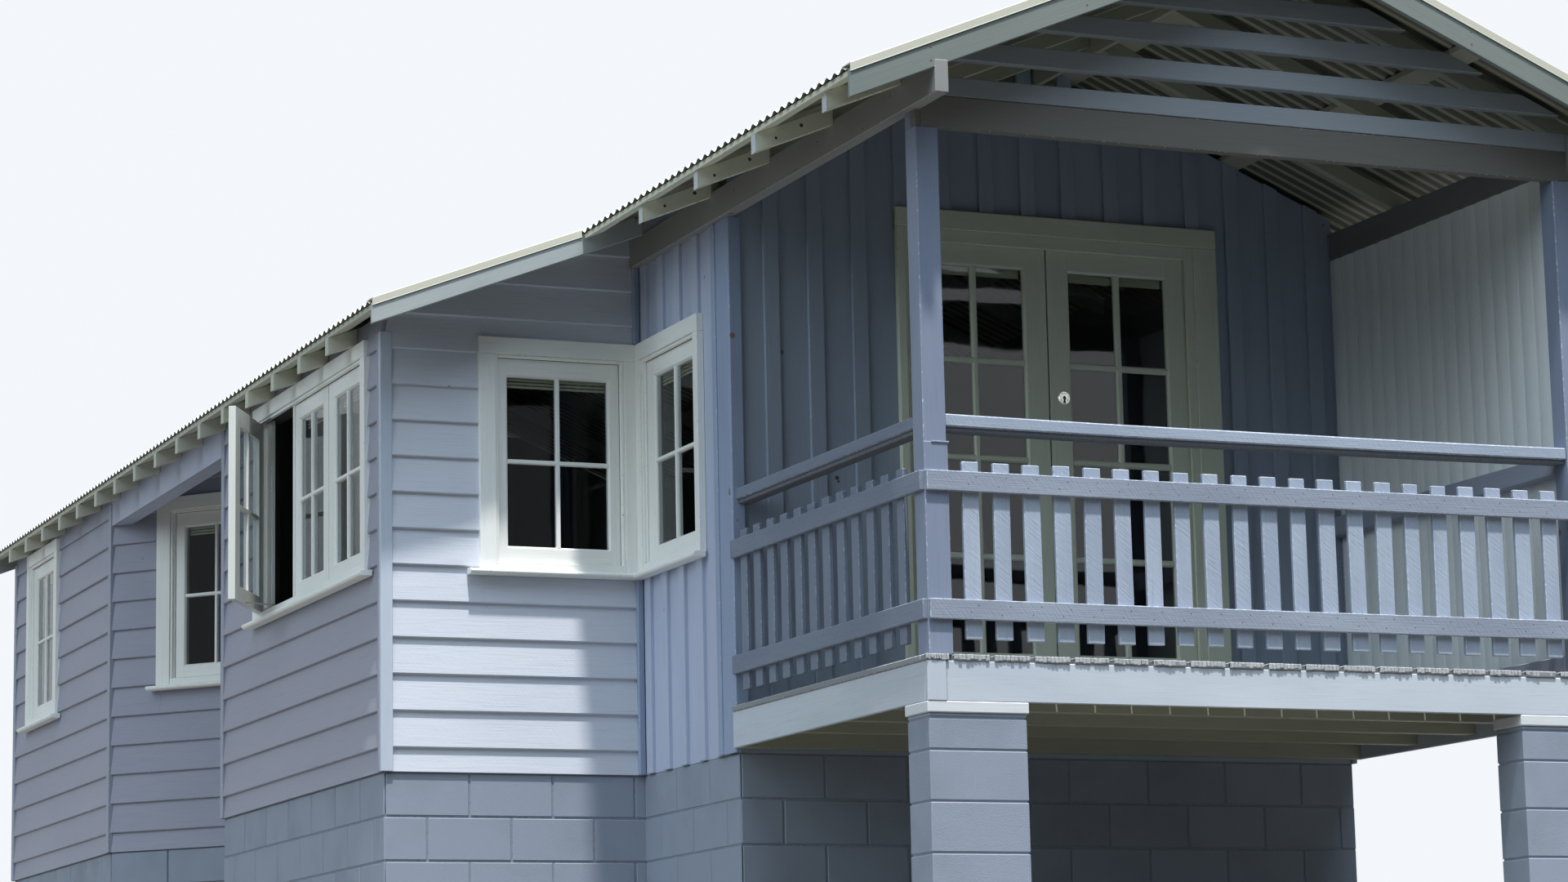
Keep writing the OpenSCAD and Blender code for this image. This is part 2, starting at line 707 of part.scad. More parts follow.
// Casings, and the lining with its threshold. The hinges' middle knuckles belong to the lining.
module door_frame() color(trim_white) placed() {
  top = door_z - leaf_gap - door_lap;
  box([door_x + door_lap - left_casing, veranda_d - casing_t, 0], [door_x + door_lap, veranda_d, top + door_head]);
  box([door_x2 - leaf_gap - door_lap, veranda_d - casing_t, 0], [door_x2 - leaf_gap - door_lap + right_casing, veranda_d, top + door_head]);
  box([door_x + door_lap, veranda_d - casing_t, top], [door_x2 - leaf_gap - door_lap, veranda_d, top + door_head]);
  difference() {
    box([door_x1 - jamb, veranda_d, 0], [door_x2 + jamb, veranda_d + wall_t, door_z + jamb]);
    box([door_x1, veranda_d - cut, leaf_z - leaf_gap], [door_x2, veranda_d + wall_t + cut, door_z]);
  }
  at_left_leaf() for (z = hinge_zs) fixed_knuckle(z + knuckle_l);
  at_right_leaf() for (z = hinge_zs) fixed_knuckle(z + knuckle_l);
}

module fixed_knuckle(z) {
  translate([pin_x, pin_y, z + seat]) cylinder(r = knuckle_r, h = knuckle_l - 2 * seat);
  box([-leaf_gap - cut, pin_y, z + seat], [pin_x, pin_y + knuckle_r, z + knuckle_l - seat]);
}

// The leaf's own knuckle, on a strap that is screwed to its inner face.
module leaf_knuckle(z) {
  translate([pin_x, pin_y, z]) cylinder(r = knuckle_r, h = knuckle_l);
  box([pin_x, leaf_t, z], [pin_x + strap_w, leaf_t + strap_t, z + knuckle_l]);
  box([pin_x, leaf_t, z], [pin_x + knuckle_r, pin_y, z + knuckle_l]);
}

module leaf_glass() translate([hinge_stile - groove, (leaf_t - glass_t) / 2, low_rail - groove])
  cube([leaf_w - hinge_stile - meet_stile + 2 * groove, glass_t, leaf_h - top_rail - low_rail + 2 * groove]);

// A door leaf of two by four panes, its hinge edge at x = 0.
module leaf() {
  pane_w = (leaf_w - hinge_stile - meet_stile - bar_w) / 2;
  pane_h = (leaf_h - top_rail - low_rail - 3 * bar_w) / 4;
  difference() {
    cube([leaf_w, leaf_t, leaf_h]);
    for (i = [0, 1], j = [0 : 3])
      translate([hinge_stile + i * (pane_w + bar_w), -cut, low_rail + j * (pane_h + bar_w)]) cube([pane_w, leaf_t + 2 * cut, pane_h]);
    leaf_glass();
  }
  for (z = hinge_zs, end = [0, 2 * knuckle_l]) leaf_knuckle(z + end);
}

module at_left_leaf() translate([door_x, leaf_y, leaf_z]) children();
module at_right_leaf() translate([door_x + 2 * leaf_w + meet_gap, leaf_y, leaf_z]) mirror([1, 0, 0]) children();

module door_left() color(trim_white) placed() at_left_leaf() leaf();
module door_right() color(trim_white) placed() at_right_leaf() {
  leaf();
  translate([leaf_w - lock_in, 0, lock_z]) rotate([90, 0, 0]) cylinder(r = lock_r, h = leaf_gap);
}
module glass_left() color("lightblue", 0.35) placed() at_left_leaf() leaf_glass();
module glass_right() color("lightblue", 0.35) placed() at_right_leaf() leaf_glass();

/* Windows */
// The window in the inner corner. The side's boards and sill end just clear of the front's.
module window_corner() color(trim_white) placed() {
  on_front() {
    casing(front_light, front_casing, casing_w);
    sash(front_light, front_stile, corner_stile);
    sill(-front_casing - sill_over, front_light + casing_w);
  }
  on_side() {
    translate([0, 0, seat]) casing(side_light, casing_w - casing_t - seat, side_casing);
    translate([0, 0, seat]) sill(-casing_w + sill_out + seat, side_light + side_casing + side_over);
    sash(side_light, side_stile, side_end);
  }
}

module window_row() color(trim_white) placed() on_row() {
  casing(3 * casement_w, row_casing, row_casing, eave_head);
  for (i = [1, 2]) translate([i * casement_w, 0, 0]) sash(casement_w, casement_stile, casement_stile);
  sill(-row_casing - sill_over, 3 * casement_w + row_casing + sill_over);
}

// The third casement stands open, swung out about its rear edge.
module at_open_sash() on_row() translate([sash_gap, -casing_t, 0]) rotate([0, 0, -open_deg]) translate([0, -sash_in, 0]) children();
module sash_open() color(trim_white) placed() at_open_sash() sash(sash_w, casement_stile, casement_stile);

module windows_rear() color(trim_white) placed() {
  on_nook() {
    translate([0, -seat, 0]) casing(nook_light, nook_casing, nook_casing);
    translate([0, -seat, 0]) sill(-nook_casing - nook_over, nook_light + nook_casing + nook_over);
    sash(nook_light, nook_stile, nook_stile);
  }
  on_rear() {
    casing(rear_light, casing_w, casing_w, eave_head);
    sash(rear_light, rear_stile, rear_stile);
    sill(-casing_w - sill_over, rear_light + casing_w + sill_over);
  }
}

module window_glass() color("lightblue", 0.35) placed() {
  on_front() pane(front_light, front_stile, corner_stile);
  on_side() pane(side_light, side_stile, side_end);
  on_row() for (i = [1, 2]) translate([i * casement_w, 0, 0]) pane(casement_w, casement_stile, casement_stile);
  at_open_sash() pane(sash_w, casement_stile, casement_stile);
  on_nook() pane(nook_light, nook_stile, nook_stile);
  on_rear() pane(rear_light, rear_stile, rear_stile);
}

foundation();
house_floor();
piers();
deck_frame();
deck();
posts();
rail_front();
rail_left();
screen_right();
side_beams();
beam_front();
gable_slats();
rafters_wing();
rafters_lean();
ridge_board();
beam_inner();
roof_battens();
roof_left();
roof_right();
roof_lean();
ridge_cap();
barge_boards();
flashings();
wall_door_left();
wall_door_right();
wall_door_over();
wall_wing_left();
wall_lean_front();
wall_lean_left();
wall_nook();
nook_lintel();
wall_rear_left();
wall_rear();
wall_right();
door_frame();
door_left();
door_right();
glass_left();
glass_right();
window_corner();
window_row();
sash_open();
windows_rear();
window_glass();
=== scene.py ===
"""Timber beach house with a gabled veranda and a lean-to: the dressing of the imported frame.

Every piece is built in the house's own frame: metres, origin at the left post's front corner on the deck, +X to
the right, +Y towards the rear, +Z up. Joiner.build moves it into the shared frame.
"""
from __future__ import annotations

import logging
import math
import random
from dataclasses import dataclass, field, replace
from enum import Enum
from typing import Callable, Optional, Sequence, Union

import bpy
from mathutils import Matrix, Vector


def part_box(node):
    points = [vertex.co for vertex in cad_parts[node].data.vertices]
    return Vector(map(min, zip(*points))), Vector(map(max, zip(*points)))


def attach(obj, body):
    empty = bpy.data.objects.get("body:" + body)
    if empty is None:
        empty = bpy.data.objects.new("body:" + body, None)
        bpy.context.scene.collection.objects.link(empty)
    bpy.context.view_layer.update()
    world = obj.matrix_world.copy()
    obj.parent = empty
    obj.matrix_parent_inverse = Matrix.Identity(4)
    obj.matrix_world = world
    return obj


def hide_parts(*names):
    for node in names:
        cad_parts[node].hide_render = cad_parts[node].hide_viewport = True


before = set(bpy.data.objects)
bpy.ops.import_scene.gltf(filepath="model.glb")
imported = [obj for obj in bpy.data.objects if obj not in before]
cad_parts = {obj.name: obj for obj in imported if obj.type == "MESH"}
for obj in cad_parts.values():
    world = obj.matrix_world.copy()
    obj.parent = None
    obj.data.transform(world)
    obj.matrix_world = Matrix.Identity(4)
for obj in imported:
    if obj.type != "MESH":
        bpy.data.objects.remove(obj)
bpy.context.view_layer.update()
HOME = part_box("posts")[0].copy()
LOG = logging.getLogger("beach_house")

Point = tuple[float, float]
End = Union[float, Callable[[float, float], float]]
Colour = tuple[float, float, float]
Socket = bpy.types.NodeSocket


class Body(Enum):
    """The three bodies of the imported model."""

    HOUSE = "house"
    LEFT = "leaf_left"
    RIGHT = "leaf_right"


class Axis(Enum):
    """Which way a bar runs. Its outline lies in the other two axes, in alphabetical order."""

    X = Matrix(((0, 0, 1, 0), (1, 0, 0, 0), (0, 1, 0, 0), (0, 0, 0, 1)))
    Y = Matrix(((1, 0, 0, 0), (0, 0, 1, 0), (0, 1, 0, 0), (0, 0, 0, 1)))
    Z = Matrix.Identity(4)


class Side(Enum):
    """The roof's three slopes."""

    LEFT = "left"
    RIGHT = "right"
    LEAN = "lean"


def span(node: str) -> tuple[Vector, Vector]:
    """Gives a CAD node's lowest and highest corners in the house's own frame."""
    lo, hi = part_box(node)
    return lo - HOME, hi - HOME


def rect(u0: float, v0: float, u1: float, v1: float) -> list[Point]:
    """Gives the four corners of a rectangle."""
    return [(u0, v0), (u1, v0), (u1, v1), (u0, v1)]


def round_outline(u: float, v: float, radius: float, sides: int = 12) -> list[Point]:
    """Gives the corners of a round bar."""
    turns = [2 * math.pi * i / sides for i in range(sides)]
    return [(u + radius * math.cos(t), v + radius * math.sin(t)) for t in turns]


def turned(x: float, y: float, degrees: float, z: float = 0.0) -> Matrix:
    """Gives a frame that stands at a point and is turned about the vertical."""
    return Matrix.Translation((x, y, z)) @ Matrix.Rotation(math.radians(degrees), 4, "Z")


def facing(at: Vector, way: Vector) -> Matrix:
    """Gives a frame that stands at a point and whose z looks along a direction."""
    return Matrix.Translation(at) @ way.to_track_quat("Z", "Y").to_matrix().to_4x4()


def sag(length: float, depth: float) -> Callable[[Vector], Vector]:
    """Gives a slow sag between two ends of a board along X.

    Args:
        length: Distance between the ends.
        depth: How far the middle hangs down.

    Returns:
        A function that lowers a point.
    """
    def move(p: Vector) -> Vector:
        """Lowers one point."""
        share = min(max(p.x / length, 0.0), 1.0)
        return Vector((p.x, p.y, p.z - depth * math.sin(math.pi * share) * (0.85 + 0.15 * math.sin(9 * share))))
    return move


class Graph:
    """A material's node tree, written as nested calls."""

    def __init__(self, name: str, world: bool = False) -> None:
        """Starts an empty material, or world, with an output.

        Args:
            name: Its name.
            world: Whether it is the world.
        """
        self.owner = (bpy.data.worlds if world else bpy.data.materials).new(name)
        self.owner.use_nodes = True
        self.tree = self.owner.node_tree
        self.tree.nodes.clear()
        self.output = self.tree.nodes.new("ShaderNodeOutputWorld" if world else "ShaderNodeOutputMaterial")

    def node(self, kind: str, inputs: dict[str, object], **settings: object) -> bpy.types.Node:
        """Adds a node.

        Args:
            kind: The node's type.
            inputs: Values or sockets for its inputs, by name or by index.
            **settings: Attributes of the node.

        Returns:
            The new node.
        """
        made = self.tree.nodes.new(kind)
        for key, value in settings.items():
            setattr(made, key, value)
        for key, value in inputs.items():
            socket = made.inputs[key]
            if isinstance(value, bpy.types.NodeSocket):
                self.tree.links.new(value, socket)
            else:
                socket.default_value = value
        return made

    def place(self) -> Socket:
        """Gives a point's place along, across and through its own board, in metres."""
        return self.node("ShaderNodeAttribute", {}, attribute_name="board").outputs["Vector"]

    def solid(self) -> Socket:
        """Gives a point's place in the object, in metres."""
        return self.node("ShaderNodeTexCoord", {}).outputs["Object"]

    def edge(self) -> Socket:
        """Gives 1 on a board's eased edges and 0 on its faces."""
        return self.node("ShaderNodeAttribute", {}, attribute_name="edge").outputs["Fac"]

    def seen(self) -> Socket:
        """Tells what is looked at from the light that is thrown back.

        Returns:
            1 where the camera, a mirror or glass looks, and 0 elsewhere.
        """
        path = self.node("ShaderNodeLightPath", {}).outputs
        through = self.math("MAXIMUM", path["Is Glossy Ray"], path["Is Transmission Ray"])
        return self.math("MAXIMUM", path["Is Camera Ray"], through)

    def stretch(self, vector: Socket, scale: tuple[float, float, float]) -> Socket:
        """Scales a vector along each of its axes."""
        return self.node("ShaderNodeMapping", {"Vector": vector, "Scale": scale}).outputs["Vector"]

    def noise(self, vector: Socket, scale: float, detail: float = 3.0) -> Socket:
        """Gives a cloudy noise between 0 and 1."""
        made = self.node("ShaderNodeTexNoise", {"Vector": vector, "Scale": scale, "Detail": detail})
        return made.outputs["Fac"]

    def saw_marks(self, vector: Socket) -> Socket:
        """Gives uneven marks that run slanting over a board.

        Args:
            vector: A point's place on its board.

        Returns:
            The marks' height, between 0 and 1.
        """
        x, y, z = self.node("ShaderNodeSeparateXYZ", {"Vector": vector}).outputs
        across = self.math("ADD", y, z)
        slant = self.math("ADD", self.math("MULTIPLY", x, 95.0), self.math("MULTIPLY", across, 70.0))
        slow = self.math("MULTIPLY", across, 16.0)
        joined = self.node("ShaderNodeCombineXYZ", {"X": slant, "Y": slow}).outputs["Vector"]
        return self.noise(joined, 1.0, 4.0)

    def spots(self, vector: Socket, scale: float, radius: float) -> Socket:
        """Gives small soft spots, scattered and unlike in size.

        Args:
            vector: A point's place.
            scale: How many places for a spot there are in a metre.
            radius: The largest spot's radius, as a share of their spacing.

        Returns:
            1 on a spot and 0 beside it.
        """
        cells = self.node("ShaderNodeTexVoronoi", {"Vector": vector, "Scale": scale, "Randomness": 1.0})
        chance = self.node("ShaderNodeSeparateColor", {"Color": cells.outputs["Color"]}).outputs["Red"]
        size = self.ramp(chance, 0.72, 1.0, 0.0, radius)
        near = self.math("SUBTRACT", size, cells.outputs["Distance"])
        return self.ramp(near, 0.0, 0.03)

    def ramp(self, value: object, low: float, high: float, to_low: float = 0.0, to_high: float = 1.0) -> Socket:
        """Maps a range of values onto another, held at its ends."""
        ends = {"From Min": low, "From Max": high, "To Min": to_low, "To Max": to_high}
        return self.node("ShaderNodeMapRange", {"Value": value, **ends}).outputs["Result"]

    def math(self, operation: str, first: object, second: object) -> Socket:
        """Gives a sum, product or other result of two values."""
        return self.node("ShaderNodeMath", {0: first, 1: second}, operation=operation).outputs[0]

    def mix(self, amount: object, first: object, second: object) -> Socket:
        """Blends two colours.

        Args:
            amount: How much of the second colour there is, or a socket that gives it.
            first: The first colour or socket.
            second: The second colour or socket.

        Returns:
            The blended colour.
        """
        made = self.node("ShaderNodeMix", {"Factor": amount}, data_type="RGBA")
        for socket, value in zip([s for s in made.inputs if s.type == "RGBA"], (first, second)):
            if isinstance(value, bpy.types.NodeSocket):
                self.tree.links.new(value, socket)
            else:
                socket.default_value = (*value, 1.0)
        return [s for s in made.outputs if s.type == "RGBA"][0]

    def bump(self, height: Socket, distance: float) -> Socket:
        """Gives a normal that a height, times a distance in metres, roughens."""
        made = self.node("ShaderNodeBump", {"Height": height, "Distance": distance, "Strength": 1.0})
        return made.outputs["Normal"]

    def finish(self, colour: object, roughness: object, normal: Optional[Socket] = None,
               **constants: float) -> bpy.types.Material:
        """Closes the tree with a surface shader.

        Args:
            colour: The base colour, or a socket that gives it.
            roughness: The roughness, or a socket that gives it.
            normal: A roughened normal.
            **constants: Other inputs of the shader, with underscores for blanks.

        Returns:
            The finished material.
        """
        inputs: dict[str, object] = {"Roughness": roughness}
        inputs["Base Color"] = colour if isinstance(colour, bpy.types.NodeSocket) else (*colour, 1.0)
        if normal is not None:
            inputs["Normal"] = normal
        inputs.update({key.replace("_", " "): value for key, value in constants.items()})
        shader = self.node("ShaderNodeBsdfPrincipled", inputs)
        self.tree.links.new(shader.outputs["BSDF"], self.output.inputs["Surface"])
        return self.owner


def shade(colour: Colour, share: float) -> Colour:
    """Gives a colour darkened to a share of itself."""
    return tuple(c * share for c in colour)


def repaint(node: str, material: bpy.types.Material) -> None:
    """Gives a CAD node that stays in view its own material.

    Args:
        node: The node.
        material: Its new material.
    """
    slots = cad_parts[node].data.materials
    slots.clear()
    slots.append(material)


def show(name: str, data: bpy.types.ID) -> bpy.types.Object:
    """Makes an object of new data and puts it in the scene.

    Args:
        name: The object's name.
        data: Its mesh, lamp or camera.

    Returns:
        The new object.
    """
    made = bpy.data.objects.new(name, data)
    bpy.context.scene.collection.objects.link(made)
    return made


def declare(piece: bpy.types.Object, node: str, body: Body = Body.HOUSE, stands: bool = True) -> None:
    """Hides the node that a piece replaces, hangs the piece on its body, and logs it.

    Args:
        piece: The piece.
        node: The CAD node that it stands for, hidden if the piece replaces it.
        body: The body that it rides on.
        stands: Whether it replaces the node.
    """
    if stands:
        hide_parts(node)
    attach(piece, body.value)
    LOG.info("%s: %d faces", piece.name, len(piece.data.polygons))


@dataclass(frozen=True)
class Finish:
    """A finish that knows how to make its material, once."""

    name: str

    def make(self) -> bpy.types.Material:
        """Builds the material."""
        raise NotImplementedError

    def material(self) -> bpy.types.Material:
        """Gives the material, building it on the first call."""
        return bpy.data.materials.get(self.name) or self.make()


@dataclass(frozen=True)
class Paint(Finish):
    """Brushed house paint on sawn timber, weathered out of doors.

    Attributes:
        colour: The paint.
        faded: The paint where sun and rain have worked on it.
        bare: What shows where it is worn off.
        wear: How much is worn off at the edges, from 0 to 1.
        grain: Height of the timber's grain in the paint, in metres.
        stains: Radius of the rust spots, as a share of their spacing.
        roughness: How dull it is, from 0 to 1.
        sawn: How strongly slanting saw marks show, from 0 to 1.
    """

    colour: Colour = (0.300, 0.312, 0.388)
    faded: Colour = (0.342, 0.352, 0.430)
    bare: Colour = (0.56, 0.58, 0.60)
    wear: float = 0.3
    grain: float = 0.0012
    stains: float = 0.10
    roughness: float = 0.55
    sawn: float = 0.35

    def tone(self, name: str, colour: Colour, faded: Colour, **changes: object) -> "Paint":
        """Gives the same kind of paint in other tones."""
        return replace(self, name=name, colour=colour, faded=faded, **changes)

    def make(self) -> bpy.types.Material:
        """Builds the material from cloudy fading, brushed grain, worn edges and rust spots.

        Returns:
            The new material.
        """
        g = Graph(self.name)
        board = g.place()
        cloud = g.noise(g.stretch(board, (1.2, 4.0, 4.0)), 1.0, 5.0)
        fibre = g.noise(g.stretch(board, (5.0, 160.0, 160.0)), 1.0, 4.0)
        brush = g.noise(g.stretch(board, (18.0, 420.0, 420.0)), 1.0, 2.0)
        speck = g.noise(board, 60.0, 4.0)
        colour = g.mix(g.ramp(cloud, 0.35, 0.68), self.colour, self.faded)
        colour = g.mix(g.ramp(fibre, 0.52, 0.78, 0.0, 0.45), colour, shade(self.colour, 0.80))
        lost = g.math("MULTIPLY", g.edge(), g.ramp(speck, 0.62 - 0.25 * self.wear, 0.70))
        worn = g.ramp(g.math("ADD", speck, g.math("MULTIPLY", fibre, 0.5)), 1.16 - 0.22 * self.wear, 1.22)
        lost = g.math("MAXIMUM", lost, g.math("MULTIPLY", worn, min(1.0, 2 * self.wear)))
        colour = g.mix(lost, colour, self.bare)
        rust = g.spots(board, 5.0, self.stains)
        colour = g.mix(g.math("MULTIPLY", rust, 0.75), colour, (0.16, 0.08, 0.035))
        height = g.math("ADD", g.math("MULTIPLY", fibre, 0.7 - 0.4 * self.sawn), g.math("MULTIPLY", brush, 0.3))
        height = g.math("ADD", height, g.math("MULTIPLY", g.saw_marks(board), self.sawn))
        height = g.math("SUBTRACT", height, g.math("MULTIPLY", lost, 0.5))
        rough = g.ramp(cloud, 0.2, 0.8, self.roughness - 0.08, self.roughness + 0.12)
        return g.finish(colour, rough, g.bump(height, self.grain), Specular_IOR_Level=0.35)


@dataclass(frozen=True)
class SheetMetal(Finish):
    """Painted roof sheet with faint streaks of dirt, and chalking.

    Attributes:
        colour: The paint.
        dirt: What has settled on it.
        streak: How strongly the streaks show, from 0 to 1.
    """

    colour: Colour
    dirt: Colour
    streak: float = 0.35

    def make(self) -> bpy.types.Material:
        """Builds the material from long streaks and fine chalk.

        Returns:
            The new material.
        """
        g = Graph(self.name)
        board = g.place()
        streaks = g.noise(g.stretch(board, (1.0, 26.0, 26.0)), 1.0, 5.0)
        cloud = g.noise(board, 0.9, 4.0)
        chalk = g.noise(board, 220.0, 2.0)
        colour = g.mix(g.ramp(cloud, 0.35, 0.7, 0.0, 0.25), self.colour, shade(self.colour, 0.86))
        colour = g.mix(g.ramp(streaks, 0.52, 0.82, 0.0, self.streak), colour, self.dirt)
        rough = g.ramp(streaks, 0.3, 0.8, 0.38, 0.62)
        return g.finish(colour, rough, g.bump(chalk, 0.0002), Specular_IOR_Level=0.45)


@dataclass(frozen=True)
class Masonry(Finish):
    """Concrete block under thick paint, with pores and grime.

    Attributes:
        colour: The paint.
        grime: What has settled on it.
    """

    colour: Colour = (0.295, 0.335, 0.41)
    grime: Colour = (0.18, 0.20, 0.235)

    def make(self) -> bpy.types.Material:
        """Builds the material from pores and cloudy grime.

        Returns:
            The new material.
        """
        g = Graph(self.name)
        board = g.place()
        pores = g.noise(board, 260.0, 4.0)
        cloud = g.noise(board, 3.0, 5.0)
        colour = g.mix(g.ramp(cloud, 0.48, 0.8, 0.0, 0.4), self.colour, self.grime)
        colour = g.mix(g.ramp(pores, 0.6, 0.75, 0.0, 0.35), colour, shade(self.colour, 0.6))
        rough = g.ramp(cloud, 0.2, 0.8, 0.6, 0.8)
        return g.finish(colour, rough, g.bump(pores, 0.0012), Specular_IOR_Level=0.25)


@dataclass(frozen=True)
class Glazing(Finish):
    """Old window glass, faintly wavy.

    Attributes:
        bending: How strongly it bends and mirrors light.
        tint: Its colour.
    """

    bending: float = 1.20
    tint: Colour = (0.55, 0.60, 0.62)

    def make(self) -> bpy.types.Material:
        """Builds a clear shader over a slow wave.

        Returns:
            The new material.
        """
        g = Graph(self.name)
        normal = g.bump(g.noise(g.solid(), 3.0, 1.0), 0.0012)
        return g.finish(self.tint, 0.02, normal, Transmission_Weight=1.0, IOR=self.bending)


@dataclass(frozen=True)
class Plain(Finish):
    """Small fittings: one colour with fine tarnish.

    Attributes:
        colour: The colour.
        metal: How metallic it is, from 0 to 1.
        roughness: How dull it is, from 0 to 1.
    """

    colour: Colour
    metal: float = 0.0
    roughness: float = 0.6

    def make(self) -> bpy.types.Material:
        """Builds the material from one colour and a fine noise.

        Returns:
            The new material.
        """
        g = Graph(self.name)
        tarnish = g.noise(g.solid(), 90.0, 4.0)
        colour = g.mix(g.ramp(tarnish, 0.45, 0.75, 0.0, 0.5), self.colour, shade(self.colour, 0.55))
        rough = g.ramp(tarnish, 0.3, 0.7, self.roughness - 0.1, self.roughness + 0.15)
        return g.finish(colour, rough, g.bump(tarnish, 0.0002), Metallic=self.metal)


@dataclass(frozen=True)
class FloorStain(Finish):
    """Dark stain on the inner floor's boards, whose joints show as lines.

    Attributes:
        pitch: Spacing of the boards.
    """

    pitch: float = 0.13

    def make(self) -> bpy.types.Material:
        """Builds the material from long grain and thin dark lines.

        Returns:
            The new material.
        """
        g = Graph(self.name)
        place = g.solid()
        x = g.node("ShaderNodeSeparateXYZ", {"Vector": place}).outputs["X"]
        line = g.math("PINGPONG", x, self.pitch / 2)
        fibre = g.noise(g.stretch(place, (90.0, 4.0, 90.0)), 1.0, 4.0)
        colour = g.mix(g.ramp(fibre, 0.35, 0.7), (0.20, 0.12, 0.07), (0.30, 0.19, 0.11))
        colour = g.mix(g.ramp(line, 0.003, 0.0), colour, (0.03, 0.02, 0.015))
        return g.finish(colour, g.ramp(fibre, 0.3, 0.7, 0.35, 0.55), g.bump(fibre, 0.0004))


@dataclass(frozen=True)
class LiningPaint(Finish):
    """Paint on the nook's beam and lined ceiling.

    Attributes:
        pitch: Spacing of the lining's boards.
    """

    pitch: float = 0.11

    def make(self) -> bpy.types.Material:
        """Builds the material from cloudy fading and thin dark lines.

        Returns:
            The new material.
        """
        g = Graph(self.name)
        place = g.solid()
        x = g.node("ShaderNodeSeparateXYZ", {"Vector": place}).outputs["X"]
        line = g.math("PINGPONG", x, self.pitch / 2)
        cloud = g.noise(place, 2.0, 5.0)
        fibre = g.noise(g.stretch(place, (120.0, 4.0, 120.0)), 1.0, 4.0)
        colour = g.mix(g.ramp(cloud, 0.35, 0.68), (0.38, 0.41, 0.53), (0.45, 0.48, 0.59))
        colour = g.mix(g.ramp(line, 0.003, 0.0, 0.0, 0.6), colour, (0.16, 0.17, 0.22))
        return g.finish(colour, g.ramp(cloud, 0.2, 0.8, 0.5, 0.65), g.bump(fibre, 0.0005))


@dataclass(frozen=True)
class PaleFloor(Finish):
    """The studio's floor, pale where it is seen and darker in the light that it throws back."""

    def make(self) -> bpy.types.Material:
        """Builds the material from two near tones and the kind of ray.

        Returns:
            The new material.
        """
        g = Graph(self.name)
        cloud = g.noise(g.solid(), 0.6, 3.0)
        seen = g.seen()
        pale = g.mix(cloud, (0.415, 0.42, 0.425), (0.435, 0.44, 0.445))
        return g.finish(g.mix(seen, (0.13, 0.125, 0.105), pale), 0.8)


WALL = Paint("wall_paint")
# Copies of the wall paint by wall: the lighter one is painted sunlight on the lean-to's front; the two bluer
# ones are painted shade on the wing's left wall and on the door wall.
WALL_SUN = WALL.tone("wall_paint_sunlit", (0.61, 0.64, 0.72), (0.66, 0.69, 0.76))
WALL_WING_SHADE = WALL.tone("wall_paint_wing", (0.45, 0.50, 0.64), (0.49, 0.54, 0.68))
WALL_DOOR_SHADE = WALL.tone("wall_paint_sheltered", (0.305, 0.36, 0.44), (0.35, 0.405, 0.49))
WALL_SMOOTH = Paint("trim_blue_paint", (0.30, 0.325, 0.40), (0.345, 0.37, 0.45), grain=0.0005, wear=0.2,
                    sawn=0.0)
# Near-black copy of the blue paint for the front beam: painted shade.
FRONT_BEAM_SHADE = WALL_SMOOTH.tone("front_beam_paint", (0.125, 0.12, 0.11), (0.145, 0.14, 0.128))
SIDE_BEAM = WALL_SMOOTH.tone("side_beam_paint", (0.29, 0.285, 0.275), (0.33, 0.325, 0.315))
# Dark grey copy for the right side beam: painted shade.
RIGHT_BEAM_SHADE = WALL_SMOOTH.tone("right_beam_paint", (0.17, 0.17, 0.175), (0.20, 0.20, 0.205))
TRIM_SUN = WALL_SMOOTH.tone("corner_trim_sunlit", (0.50, 0.55, 0.65), (0.56, 0.61, 0.70))
# Darker, bluer copy for the wing's corner trims: painted shade.
TRIM_WING_SHADE = WALL_SMOOTH.tone("corner_trim_wing", (0.29, 0.355, 0.50), (0.335, 0.40, 0.55))
SLAT = WALL_SMOOTH.tone("slat_paint", (0.31, 0.345, 0.38), (0.36, 0.39, 0.42))
# Darker copy of the blue paint for the posts: painted shade.
POST_SHADE = Paint("post_paint", (0.212, 0.252, 0.345), (0.252, 0.292, 0.39), grain=0.0008, wear=0.35, sawn=0.1)
FASCIA = Paint("fascia_paint", (0.52, 0.565, 0.63), (0.60, 0.65, 0.71), (0.66, 0.68, 0.70), 0.5, 0.0006)
CAP = Paint("cap_paint", (0.66, 0.68, 0.71), (0.72, 0.74, 0.76), (0.45, 0.50, 0.58), 0.3, 0.0004, sawn=0.0)
RAIL = Paint("rail_paint", (0.34, 0.39, 0.49), (0.44, 0.50, 0.60), (0.62, 0.65, 0.70), wear=0.8, grain=0.0022,
             stains=0.12, roughness=0.62, sawn=0.8)
RAIL_BAR = RAIL.tone("picket_rail_paint", (0.265, 0.30, 0.375), (0.34, 0.385, 0.46))
# Darker copy of the rail paint for the left side's rails and pickets: painted shade.
RAIL_SIDE_SHADE = RAIL.tone("side_rail_paint", (0.165, 0.195, 0.26), (0.21, 0.248, 0.315), bare=(0.40, 0.43, 0.48),
                      wear=0.6, grain=0.0018, sawn=0.6)
# Near-black paint of the strip under each handrail: painted shade.
RAIL_UNDER_SHADE = Plain("rail_underside", (0.11, 0.12, 0.14), roughness=0.7)
# Near-black paint on the walls' inner faces: painted shade inside the house.
INSIDE_SHADE = Paint("inside_paint", (0.055, 0.055, 0.053), (0.07, 0.07, 0.067), (0.10, 0.09, 0.08), wear=0.0,
               grain=0.0002, stains=0.0, roughness=0.7, sawn=0.0)
TRIM = Paint("window_paint", (0.90, 0.91, 0.87), (0.93, 0.93, 0.90), (0.62, 0.60, 0.52), wear=0.12,
             grain=0.0003, stains=0.05, roughness=0.42, sawn=0.0)
